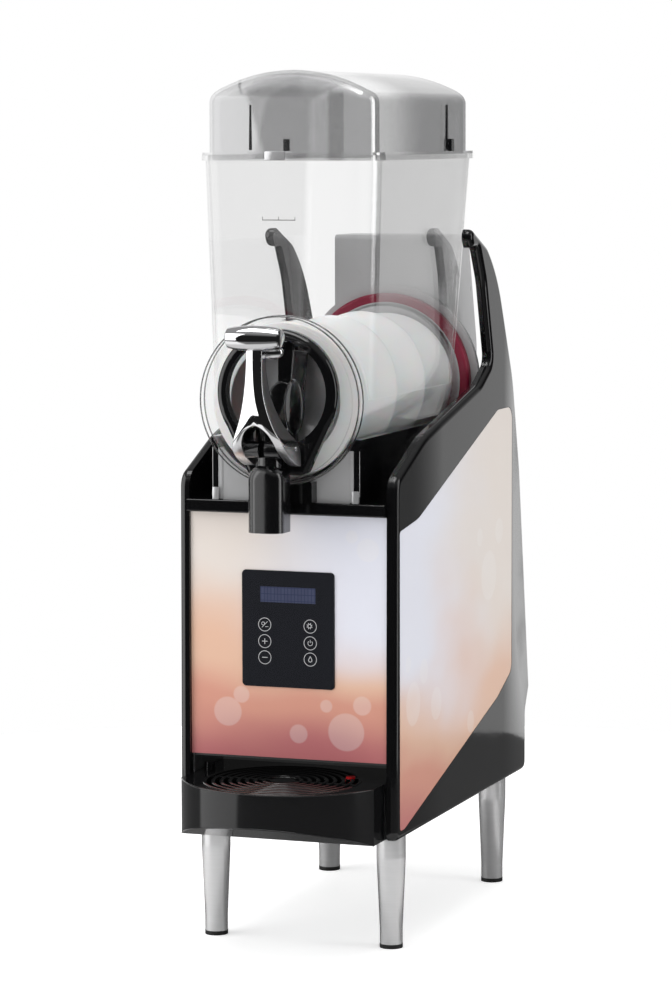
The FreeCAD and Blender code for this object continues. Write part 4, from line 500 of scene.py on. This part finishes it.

# Recess: a dark grey satin moulding that closes the casing behind and above the drip tray and
# fits between the tub's walls. A faint white glow on it is painted light, for room light bounced
# in.


def mottle(wire, shader, size, dark, light, detail=2):
    """Lets the colour drift between two shades."""
    feed(shader, "Base Color", grain(wire, size, detail).blend((*dark, 1), (*light, 1)))


recess_grey, wire, shader = new_finish("recess_grey", (0.05, 0.05, 0.05), 0.34)
mottle(wire, shader, 50, (0.04, 0.04, 0.04), (0.07, 0.07, 0.07))
# Painted light: a faint white emission stands in for light bounced into the recess.
shader.inputs["Emission Color"].default_value = (1, 1, 1, 1)
shader.inputs["Emission Strength"].default_value = 0.014
feed(shader, "Roughness", 0.28 + 0.12 * grain(wire, 8, 2))
coat(recess_grey, "tray_recess")

# Cradle front: a smoke-grey plate between two bright edge strips, with a small bright corner
# block on each side where the bowl's catch presses.


def soften(bm, width, segments=2):
    """Rounds every edge that is sharper than 30 degrees."""
    sharp = [edge for edge in bm.edges if edge.calc_face_angle(0) > math.radians(30)]
    bmesh.ops.bevel(bm, geom=sharp, offset=width, segments=segments, profile=0.5,
                    affect="EDGES", material=-1)


smoke_grey, wire, shader = new_finish("smoke_grey", (0.4, 0.4, 0.405), 0.25)
mottle(wire, shader, 70, (0.36, 0.36, 0.365), (0.46, 0.46, 0.465))
feed(shader, "Roughness", 0.2 + 0.1 * grain(wire, 9, 2))
coat(smoke_grey, "cradle_plate")

bright_edge, wire, shader = new_finish("bright_edge", (0.7, 0.7, 0.71), 0.2, 0.6)
feed(shader, "Roughness", 0.16 + 0.12 * grain(wire, 5, 2))
EDGE_Y, EDGE_Z, EDGE_HEIGHT = -170.3, 455, 49
CATCH_X, CATCH_Y, CATCH_Z = 70.2, -171.6, 436
CATCH_SIZE = (6.4, 3.2, 11.6)
bm = bmesh.new()
for side in (-1, 1):
    block(bm, (side * 67.6, EDGE_Y, EDGE_Z), (0.8, 0.7, EDGE_HEIGHT))
    block(bm, (side * 73.8, EDGE_Y, EDGE_Z + 3), (0.6, 0.7, EDGE_HEIGHT - 6))
    block(bm, (side * CATCH_X, CATCH_Y, CATCH_Z), CATCH_SIZE)
soften(bm, 0.2)
piece("cradle_edges", bm, bright_edge, "housing")

bm = bmesh.new()
for side in (-1, 1):
    block(bm, (side * 65.5, -170.2, EDGE_Z), (3.4, 0.5, EDGE_HEIGHT))
soften(bm, 0.15)
piece("plate_wings", bm, smoke_grey, "housing")

# Tower and seat: a grey moulding behind the bowl that stands on the deck and holds the gear
# motor. The round seat on its front carries the cooling cylinder, and the bowl slides onto it.

tower_grey, wire, shader = new_finish("tower_grey", (0.5, 0.5, 0.505), 0.3)
mottle(wire, shader, 60, (0.47, 0.47, 0.475), (0.56, 0.56, 0.565))
feed(shader, "Roughness", 0.24 + 0.12 * grain(wire, 9, 2))
coat(tower_grey, "motor_tower", "bowl_seat")

# Bowl and lid: clear moulded plastic about 2.5 mm thick with polished faces, the lid a little
# smoky. The lid has a tab in front and a dark rib on each side wall, and the bowl has two
# beads round its nose and a printed level line.

CLEAR_WHITE = (0.96, 0.96, 0.96)
SMOKE_AND_SHADE = (0.3, 0.3, 0.305)


def clear_finish(name, tint, haze_and_painted_reflection, shade):
    """A thin clear wall: see-through in the middle, mirror-like where it turns away. High on the
    right wall of the hopper and lid a painted reflection raises the mirror share, for the bright
    room there."""
    material, wire, shader = new_finish(name, CLEAR_WHITE, 0.02, 1.0)
    turned = wire.node("ShaderNodeLayerWeight", {}, {"Blend": 0.5}, "Facing")
    painted_right_reflection = place_along(wire, "X").between(0.03, 0.07)
    painted_right_reflection = painted_right_reflection * place_along(wire, "Z").between(0.6, 0.64)
    gloss = 0.01 + 0.99 * turned.maths("POWER", turned, 5.0 - 3.4 * painted_right_reflection)
    gloss = gloss + haze_and_painted_reflection(wire) * (1 - gloss)
    feed(shader, "Base Color", shade(wire).blend((*CLEAR_WHITE, 1), (*SMOKE_AND_SHADE, 1)))
    feed(shader, "Roughness", 0.01 + 0.02 * grain(wire, 60, 2))
    clear = wire.node("ShaderNodeBsdfTransparent", {}, {"Color": (*tint, 1)})
    either = wire.node("ShaderNodeMixShader", {}, {0: gloss, 1: clear,
                                                   2: Wire(wire.tree, shader.outputs[0])})
    wire.tree.links.new(either.socket, wire.tree.nodes["Material Output"].inputs[0])
    return material


def bowl_haze(wire):
    """Faint flow marks of the moulding."""
    return 0.01 * grain(wire, 90, 2, (1, 1, 0.3))


def lid_painted_reflection(wire):
    """Painted reflection: more mirror share low on the front from left of the middle to under the
    arch, more again in a band right of the middle, and toward the rear, for dark parts of the room
    mirrored.
    """
    across, depth, up = (place_along(wire, axis) for axis in "XYZ")
    front = (across + 0.3 * (up - 0.76)).between(-0.03, -0.022) * (1 - depth.between(-0.1, -0.09))
    front = front * (1 - (up + 1.6 * across * across).between(0.814, 0.824))
    painted_mirror_band = across.between(0.038, 0.042) * (1 - across.between(0.054, 0.056))
    rear = (depth + 0.6 * (0.79 - up)).between(-0.02, 0.0)
    return front * (0.24 + 0.17 * painted_mirror_band) + 0.15 * rear + 0.01 * grain(wire, 60, 2)


clear_plastic = clear_finish("clear_plastic", (0.987, 0.987, 0.987), bowl_haze,
                             lambda wire: 0.1 * grain(wire, 80, 2))
# The lid's mirror colour darkens toward the rear: painted shade in its reflection.
smoky_clear = clear_finish("smoky_clear", (0.95, 0.95, 0.952), lid_painted_reflection,
                           lambda wire: 0.95 * place_along(wire, "Y").between(-0.13, -0.02))
coat(clear_plastic, "bowl")
coat(smoky_clear, "lid")

TAB_AT, TAB_SIZE = (-10.5, -168.4, 754.5), (20, 3.4, 8.5)
bm = bmesh.new()
block(bm, TAB_AT, TAB_SIZE)
soften(bm, 0.7)
# Painted highlight: the clear tab takes the pale bright-edge finish for its bright look.
piece("lid_tab", bm, bright_edge, "lid")

RIBS_AT = ((-85.2, -38), (85.2, 58))
RIB_Z, RIB_SIZE, RIB_TAPER = 781, (1.6, 4.5, 44), 0.2
bm = bmesh.new()
for x, y in RIBS_AT:
    made = block(bm, (x, y, RIB_Z), RIB_SIZE)
    top = [vert for vert in made if vert.co.z > RIB_Z]
    bmesh.ops.scale(bm, vec=(1, RIB_TAPER, 1), space=Matrix.Translation((0, -y, 0)), verts=top)
piece("lid_ribs", bm, black_satin, "lid")

# Painted shade: the nose's two beads get a dark clear finish that draws the dark lines seen along
# the edge of the thick clear rim.
rim_painted_shade = clear_finish("rim_painted_shade", (0.5, 0.5, 0.5),
                         lambda wire: 0.3 + 0.1 * grain(wire, 40, 2),
                         lambda wire: 0.5 + 0.3 * grain(wire, 30, 2))
AXIS_Z = 526
NOSE_RIMS = ((79.2, -187.6), (79.6, -176.5))
RIM_BEAD = 0.75
EIGHTHS = [math.pi * number / 4 for number in range(8)]
bm = bmesh.new()
for radius, y in NOSE_RIMS:
    bead = [(0, y + RIM_BEAD * math.cos(turn), AXIS_Z - radius + RIM_BEAD * math.sin(turn))
            for turn in EIGHTHS]
    turn_line(bm, bead, True, (0, 0, AXIS_Z), (0, 1, 0), steps=96)
bmesh.ops.recalc_face_normals(bm, faces=bm.faces)
piece("nose_rims", bm, rim_painted_shade, "bowl", smooth=180)

print_black, wire, shader = new_finish("print_black", (0.03, 0.03, 0.03), 0.5)
feed(shader, "Roughness", 0.42 + 0.15 * grain(wire, 3, 2))
LEVEL_Z = 694.4
LEVEL_TICKS = (-25, -9, 7.4)
LEVEL_WIDTH, TICK_WIDTH, TICK_HEIGHT = 0.7, 0.4, 3
where = nodes["bowl"].ray_cast((0, -1, LEVEL_Z / 1000), (0, 1, 0))[1]
wall_y = where.y * 1000
bm = bmesh.new()
stroke(bm, ((LEVEL_TICKS[0], LEVEL_Z), (LEVEL_TICKS[-1], LEVEL_Z)), LEVEL_WIDTH, wall_y)
for x in LEVEL_TICKS:
    stroke(bm, ((x, LEVEL_Z), (x, LEVEL_Z + TICK_HEIGHT)), TICK_WIDTH, wall_y)
piece("level_line", bm, print_black, "bowl")

# Cooling cylinder: a closed tube of brushed stainless steel inside the bowl, its grain round
# the tube and straight across its front. Drive shaft, hinge pins, the tap's spring and the
# rear screws are of the same steel.

brushed_steel, wire, shader = new_finish("brushed_steel", (0.42, 0.42, 0.43), 0.3, 0.75)
brush = grain(wire, 2.5, 3, (0.08, 1, 0.08))
feed(shader, "Base Color", brush.blend((0.44, 0.44, 0.45, 1), (0.62, 0.62, 0.63, 1)))
feed(shader, "Roughness", 0.26 + 0.2 * brush)
raise_surface(shader, brush, 0.02)
coat(brushed_steel, "evaporator", "drive_shaft", "hinge_pins", "tap_spring", "rear_screws")

# Gasket and seals: moulded rubber. The red ring is stretched over the seat and seals the bowl's
# rear end, and black rubber seals the shaft and soles the feet.

red_rubber, wire, shader = new_finish("red_rubber", (0.25, 0.012, 0.04), 0.38)
mottle(wire, shader, 12, (0.2, 0.008, 0.03), (0.3, 0.016, 0.05), 3)
feed(shader, "Roughness", 0.32 + 0.16 * grain(wire, 3, 2))
coat(red_rubber, "bowl_gasket")

black_rubber, wire, shader = new_finish("black_rubber", (0.014, 0.014, 0.014), 0.6)
feed(shader, "Roughness", 0.52 + 0.2 * grain(wire, 2, 2))
raise_surface(shader, grain(wire, 0.6, 1), 0.02)
coat(black_rubber, "shaft_seal", "pad_front_left", "pad_front_right", "pad_rear_left",
     "pad_rear_right")

# Auger and piston: milky white food-grade plastic. The auger is one moulded screw that sits
# close round the cylinder: each crest falls steeply behind and rises slowly to the next. A
# ring in front joins it to the arm.

milky_white, wire, shader = new_finish("milky_white", (0.84, 0.84, 0.835), 0.32,
                                       Subsurface_Weight=0.25, Subsurface_Scale=0.006)
mottle(wire, shader, 30, (0.82, 0.82, 0.815), (0.88, 0.88, 0.875))
feed(shader, "Roughness", 0.28 + 0.1 * grain(wire, 8, 2))
raise_surface(shader, grain(wire, 6, 1), 0.01)
coat(milky_white, "tap_piston")

PITCH = 85
# One turn's profile, as (way along the axis, radius), and the ring's, as (radius, y).
CREST_TO_CREST = ((0, 73.3), (2.5, 72.9), (5, 70.5), (8.5, 66), (13, 63), (20, 62.3), (38, 63.2),
                  (56, 66.0), (69, 69.2), (77, 71.8), (82.5, 73.1), (PITCH, 73.3))
TURNS, STEPS = 6, 56
SCREW_START = -315
SCREW_FRONT, SCREW_REAR = -158, 112
BORE = 61.8
RING = ((55, -171), (71.8, -171), (73.2, -169.6), (73.3, -148), (71.5, -146), (61.9, -146),
        (61.9, -169), (55, -169))
# The turned crests are cut square at both ends, a plain tube makes the bore, and the flat ends
# are filled between the two.
bm = bmesh.new()
crests = [(radius, SCREW_START + along, AXIS_Z) for along, radius in CREST_TO_CREST]
turn_line(bm, crests, False, (0, 0, AXIS_Z), (0, 1, 0), -2 * math.pi * TURNS, STEPS * TURNS,
          (0, PITCH / STEPS, 0))
bmesh.ops.remove_doubles(bm, verts=bm.verts, dist=0.02)
for end, outward in ((SCREW_FRONT, -1), (SCREW_REAR, 1)):
    everything = bm.verts[:] + bm.edges[:] + bm.faces[:]
    bmesh.ops.bisect_plane(bm, geom=everything, plane_co=(0, end, 0), plane_no=(0, outward, 0),
                           clear_outer=True)
bore = [(BORE, end, AXIS_Z) for end in (SCREW_FRONT, SCREW_REAR)]
turn_line(bm, bore, False, (0, 0, AXIS_Z), (0, 1, 0))
for end in (SCREW_FRONT, SCREW_REAR):
    rims = [edge for edge in bm.edges if edge.is_boundary
            and all(abs(vert.co.y - end) < 0.05 for vert in edge.verts)]
    bmesh.ops.triangle_fill(bm, edges=rims, normal=(0, 1, 0))
ring = [(radius, y, AXIS_Z) for radius, y in RING]
turn_line(bm, ring, True, (0, 0, AXIS_Z), (0, 1, 0))
bmesh.ops.recalc_face_normals(bm, faces=bm.faces)
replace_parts(piece("white_screw", bm, milky_white, "auger", smooth=50), "auger")

# Hub: a glossy black plastic boss on the auger's arm, a bar that leans beside the arm, and an
# oblong knob that screws onto the drive shaft's end and clamps them.


def pebble(bm, centre, half_size, u_segments, v_segments):
    """A ball stretched to its half sizes along x, y and z."""
    made = bmesh.ops.create_uvsphere(bm, u_segments=u_segments, v_segments=v_segments,
                                     radius=1.0)["verts"]
    bmesh.ops.scale(bm, vec=half_size, verts=made)
    bmesh.ops.translate(bm, vec=centre, verts=made)


BOSS_PLACE = Matrix.Translation((0, -174.8, AXIS_Z - 4)) @ Matrix.Rotation(math.pi / 2, 4, "X")
BOSS_NARROW = 0.7
SIDE_BAR_AT, SIDE_BAR_SIZE = (12, -169, 540), (15, 5, 66)
SIDE_BAR_LEAN = Matrix.Rotation(math.radians(5), 3, "Y")
KNOB_AT, KNOB_HALF_SIZE = (11.5, -178, 520.5), (10.2, 7.5, 26.5)
bm = bmesh.new()
bmesh.ops.create_cone(bm, cap_ends=True, segments=48, radius1=23.5, radius2=21.5, depth=7,
                      matrix=BOSS_PLACE)
bmesh.ops.scale(bm, vec=(BOSS_NARROW, 1, 1), space=Matrix.Translation((3, 0, 0)),
                verts=bm.verts)
block(bm, SIDE_BAR_AT, SIDE_BAR_SIZE, SIDE_BAR_LEAN)
soften(bm, 1.5, 3)
pebble(bm, KNOB_AT, KNOB_HALF_SIZE, 40, 24)
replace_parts(piece("clamp_knob", bm, black_gloss, "auger"), "hub_nut")

# Lever: one chrome-plated casting with brushed feet. Its fork straddles the spout, where a
# steel pin through it lifts the piston, the stem narrows upwards with a rounded front, and the
# top ends in a barrel grip with flat ends.

chrome, wire, shader = new_finish("chrome", (0.84, 0.84, 0.85), 0.035, 1.0)
brushed_feet = 1 - place_along(wire, "Z").between(0.484, 0.498)
feed(shader, "Roughness", 0.025 + 0.03 * grain(wire, 18, 3) + 0.26 * brushed_feet)
# The face's outer and inner edge, as (height, x), and its two side profiles, as (height, y).
OUTER = ((584, 7.6), (572, 7.6), (554, 8.0), (539, 9.2), (525, 12.0), (511, 16.6), (499, 21.8),
         (490.5, 25.4), (482, 27.2), (474, 27.4), (467, 27.4))
INNER = ((584, 0), (572, 0), (554, 0), (539, 0), (525, 0), (508.5, 0), (505, 8.2), (498, 14),
         (489, 16.6), (478, 17.3), (467, 17.3))
FRONT = ((586, -252), (572, -252.5), (554, -253.5), (539, -254.5), (525, -253.6),
         (511, -251.5), (499, -249.0), (490.5, -245.5), (482, -239), (474, -226), (467, -208))
REAR = ((586, -245), (572, -243), (554, -241), (539, -237), (525, -231), (511, -225),
        (499, -219), (490.5, -206), (482, -202.5), (474, -202.5), (467, -202.5))
STEM_BULGE, FOOT_BULGE, FORK_LEAN = 3.2, 4.8, 0.13
ROWS_ACROSS = (0.0, 0.4, 0.75, 1.0)


def on_profile(profile, z):
    """A value of a side profile at a height, between its two nearest points."""
    for (z1, v1), (z0, v0) in zip(profile, profile[1:]):
        if z >= z0:
            return v0 + (v1 - v0) * (z - z0) / (z1 - z0)
    return profile[-1][1]


def ramp(value, start, end):
    """0 at start, 1 at end, and straight between them."""
    return max(0, min(1, (value - start) / (end - start)))


# Half of the front face is bridged between its inner and its outer edge and mirrored. A second
# layer is drawn off it, and both are moved to their side profiles.
bm = bmesh.new()
chains = []
for share in ROWS_ACROSS:
    verts = [bm.verts.new((x0 + (x1 - x0) * share, 0, z0 + (z1 - z0) * share))
             for (z0, x0), (z1, x1) in zip(INNER, OUTER)]
    chains.append([bm.edges.new(pair) for pair in zip(verts, verts[1:])])
for first, second in zip(chains, chains[1:]):
    bmesh.ops.bridge_loops(bm, edges=first + second)
bmesh.ops.mirror(bm, geom=bm.verts[:] + bm.edges[:] + bm.faces[:], axis="X", merge_dist=0.01)
bmesh.ops.remove_doubles(bm, verts=bm.verts, dist=0.01)
front = bm.verts[:]
made = bmesh.ops.extrude_face_region(bm, geom=bm.faces[:], use_keep_orig=True)["geom"]
rear = [thing for thing in made if isinstance(thing, bmesh.types.BMVert)]
# The stem is crowned about a ridge that moves to the right farther down, and each foot has a
# crown of its own between its edges.
for vert in front:
    z = vert.co.z
    inner, outer = on_profile(INNER, z), on_profile(OUTER, z)
    share = ramp(abs(vert.co.x), inner, outer)
    ridge = 0.1 + 0.5 * ramp(z, 565, 525)
    side = vert.co.x / outer
    off_ridge = (ridge - side) / (1 + ridge) if side < ridge else (side - ridge) / (1 - ridge)
    stem_crown = STEM_BULGE * (1 - min(1, off_ridge) ** 1.35)
    foot_crown = FOOT_BULGE * share * (1 - share)
    in_stem = ramp(z, 496, 512)
    lean = FORK_LEAN * ramp(z, 532, 518) * ramp(z, 486, 498)
    vert.co.y = (on_profile(FRONT, z) - in_stem * stem_crown - (1 - in_stem) * foot_crown
                 - lean * vert.co.x)
for vert in rear:
    vert.co.y = on_profile(REAR, vert.co.z)
bmesh.ops.recalc_face_normals(bm, faces=bm.faces)
crease = bm.edges.layers.float.new("crease_edge")
for edge in bm.edges:
    if len(edge.link_faces) == 2 and edge.calc_face_angle(0) > math.radians(50):
        edge[crease] = 0.5 if edge.verts[0].co.z > 494 else 0.8
lever = piece("lever_casting", bm, chrome, "lever", smooth=180)
finish = lever.modifiers.new("rounding", "SUBSURF")
finish.levels = finish.render_levels = 3
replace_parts(lever, "tap_lever")

# The grip's profile, as (x, share of its radius).
GRIP = ((-26.6, 0.0), (-26.6, 0.58), (-26.2, 0.7), (-25.2, 0.78), (-20, 0.87), (-11, 0.96),
        (0, 1.0), (11, 0.96), (20, 0.87), (25.2, 0.78), (26.2, 0.7), (26.6, 0.58), (26.6, 0.0))
GRIP_DEPTH, GRIP_HEIGHT = 13.2, 12.0
GRIP_TILT = Matrix.Rotation(math.radians(-15), 3, "X")
GRIP_AT = (0, -250.6, 588.3)
NECK_AT, NECK_SIZE = (0, -243, 573), (12, 14, 14)
BULGE_AT, BULGE_HALF_SIZE = (11.5, -236, 575), (11.5, 7.5, 7.0)
bm = bmesh.new()
turn_line(bm, [(x, 0, reach) for x, reach in GRIP], False, (0, 0, 0), (1, 0, 0), steps=48)
bmesh.ops.remove_doubles(bm, verts=bm.verts, dist=0.001)
bmesh.ops.recalc_face_normals(bm, faces=bm.faces)
bmesh.ops.scale(bm, vec=(1, GRIP_DEPTH, GRIP_HEIGHT), verts=bm.verts)
bmesh.ops.rotate(bm, cent=(0, 0, 0), matrix=GRIP_TILT, verts=bm.verts)
bmesh.ops.translate(bm, vec=GRIP_AT, verts=bm.verts)
block(bm, NECK_AT, NECK_SIZE)
pebble(bm, BULGE_AT, BULGE_HALF_SIZE, 24, 14)
piece("lever_grip", bm, chrome, "lever", smooth=24)

PIN_PLACE = Matrix.Translation((0, -214, 484)) @ Matrix.Rotation(math.pi / 2, 4, "Y")
PIN_RADIUS, PIN_LENGTH = 2.0, 55
bm = bmesh.new()
bmesh.ops.create_cone(bm, cap_ends=True, segments=24, radius1=PIN_RADIUS, radius2=PIN_RADIUS,
                      depth=PIN_LENGTH, matrix=PIN_PLACE)
piece("lift_pin", bm, brushed_steel, "lever")

# Grille bars: the plate's curved bars have rounded tops, ringed about one point, and break off
# round the float's hole. A small stud at the left lifts the plate.

BAR_CENTRE = (0, -182)
FLOAT_AT = (57, -150)
float_reach = math.hypot(FLOAT_AT[0] - BAR_CENTRE[0], FLOAT_AT[1] - BAR_CENTRE[1])
float_turn = math.atan2(FLOAT_AT[1] - BAR_CENTRE[1], FLOAT_AT[0] - BAR_CENTRE[0])
PLATE_TOP = 165.5
# A bar's top, as (way outward, rise).
BAR_TOP = ((-1.9, -0.2), (-1.7, 0.25), (-1.0, 0.7), (0, 0.85), (1.0, 0.7), (1.7, 0.25),
           (1.9, -0.2))
FIRST_BAR, BAR_STEP, BARS = 18, 8, 8
FLOAT_ROOM = 8
STUD_AT = (-87, -150, 169.4)
bm = bmesh.new()
for number in range(BARS):
    radius = FIRST_BAR + BAR_STEP * number
    by_float = abs(radius - float_reach) < BAR_STEP / 2
    gap = math.asin(FLOAT_ROOM / radius) if by_float else 0
    start = float_turn + gap
    bar = [(BAR_CENTRE[0] + (radius + out) * math.cos(start),
            BAR_CENTRE[1] + (radius + out) * math.sin(start), PLATE_TOP + rise)
           for out, rise in BAR_TOP]
    turn_line(bm, bar, False, (*BAR_CENTRE, 0), (0, 0, 1), 2 * math.pi - 2 * gap, 96)
bmesh.ops.recalc_face_normals(bm, faces=bm.faces)
bmesh.ops.create_cone(bm, cap_ends=True, segments=32, radius1=5.5, radius2=5.0, depth=8,
                      matrix=Matrix.Translation(STUD_AT))
piece("grille_bars", bm, black_gloss, "drip_grille")

# Tray lips: the tray is moulded in one piece, and its bowed front ends in a thin round bead
# along its top and along its lower edge, which rises toward the front.

TRAY_HALF = 97
BOW_RADIUS, BOW_Y = 106.2, -154.8
BOW_TURN = math.asin(TRAY_HALF / BOW_RADIUS)
CORNER_Y = BOW_Y - BOW_RADIUS * math.cos(BOW_TURN)
TRAY_LOW, TRAY_RISE, TRAY_FRONT = 111.5, 21, -261
BEAD = 0.7
start = 1.5 * math.pi - BOW_TURN
bm = bmesh.new()
for bead_z in (PLATE_TOP - 0.4, TRAY_LOW + 0.5):
    reaches = [BOW_RADIUS - 0.3 + BEAD * math.cos(turn) for turn in EIGHTHS]
    bead = [(reach * math.cos(start), BOW_Y + reach * math.sin(start),
             bead_z + BEAD * math.sin(turn)) for reach, turn in zip(reaches, EIGHTHS)]
    turn_line(bm, bead, True, (0, BOW_Y, 0), (0, 0, 1), 2 * BOW_TURN, 64)
for vert in (vert for vert in bm.verts if vert.co.z < TRAY_LOW + 2):
    vert.co.z += TRAY_RISE * (CORNER_Y - vert.co.y) / (CORNER_Y - TRAY_FRONT)
bmesh.ops.holes_fill(bm, edges=bm.edges, sides=8)
bmesh.ops.recalc_face_normals(bm, faces=bm.faces)
piece("tray_lips", bm, black_gloss, "drip_tray", smooth=60)

# Red float: a moulded plastic pin on a disc that floats in the tray. It rises through its hole
# in the grille when the tray is full.

red_plastic, wire, shader = new_finish("red_plastic", (0.66, 0.008, 0.012), 0.28)
feed(shader, "Roughness", 0.22 + 0.14 * grain(wire, 3, 2))
coat(red_plastic, "float_indicator")

# Legs and feet: turned from stainless steel bar, tapered, with the fine rings of the lathe.
# The legs are fixed under the tub's floor, and the feet screw into the legs.

turned_steel, wire, shader = new_finish("turned_steel", (0.85, 0.85, 0.855), 0.2, 0.7)
rings = grain(wire, 1.6, 3, (0.05, 0.05, 1))
polished = rings.blend((0.86, 0.86, 0.865, 1), (0.93, 0.93, 0.935, 1))
# Painted shade: the legs' colour darkens where they turn away from the view, for the dark edges of
# their reflections.
turned = wire.node("ShaderNodeLayerWeight", {}, {"Blend": 0.5}, "Facing")
feed(shader, "Base Color", turned.between(0.45, 0.95).blend(polished, (0.42, 0.42, 0.425, 1)))
feed(shader, "Roughness", 0.16 + 0.1 * rings)
raise_surface(shader, rings, 0.005)
coat(turned_steel, "leg_front_left", "leg_front_right", "leg_rear_left", "leg_rear_right",
     "foot_front_left", "foot_front_right", "foot_rear_left", "foot_rear_right")

# Works inside: the cast gear motor in the tower, and the fan motor, the finned aluminium
# condenser and the brazed copper pipes in the base. They show only through the louvres and
# with the casing open.

cast_grey, wire, shader = new_finish("cast_grey", (0.3, 0.31, 0.32), 0.5, 0.9)
feed(shader, "Roughness", 0.42 + 0.2 * grain(wire, 2, 3))
raise_surface(shader, grain(wire, 1.5, 2), 0.08)
coat(cast_grey, "gear_motor", "fan_motor")

fin_aluminium, wire, shader = new_finish("fin_aluminium", (0.7, 0.71, 0.72), 0.35, 1.0)
feed(shader, "Roughness", 0.3 + 0.2 * grain(wire, 3, 2, (0.1, 1, 1)))
coat(fin_aluminium, "condenser")

copper_tube, wire, shader = new_finish("copper_tube", (0.62, 0.3, 0.18), 0.3, 1.0)
feed(shader, "Base Color", grain(wire, 25, 3).blend((0.68, 0.33, 0.2, 1), (0.4, 0.2, 0.13, 1)))
feed(shader, "Roughness", 0.24 + 0.2 * grain(wire, 10, 2))
coat(copper_tube, "refrigerant_pipes")
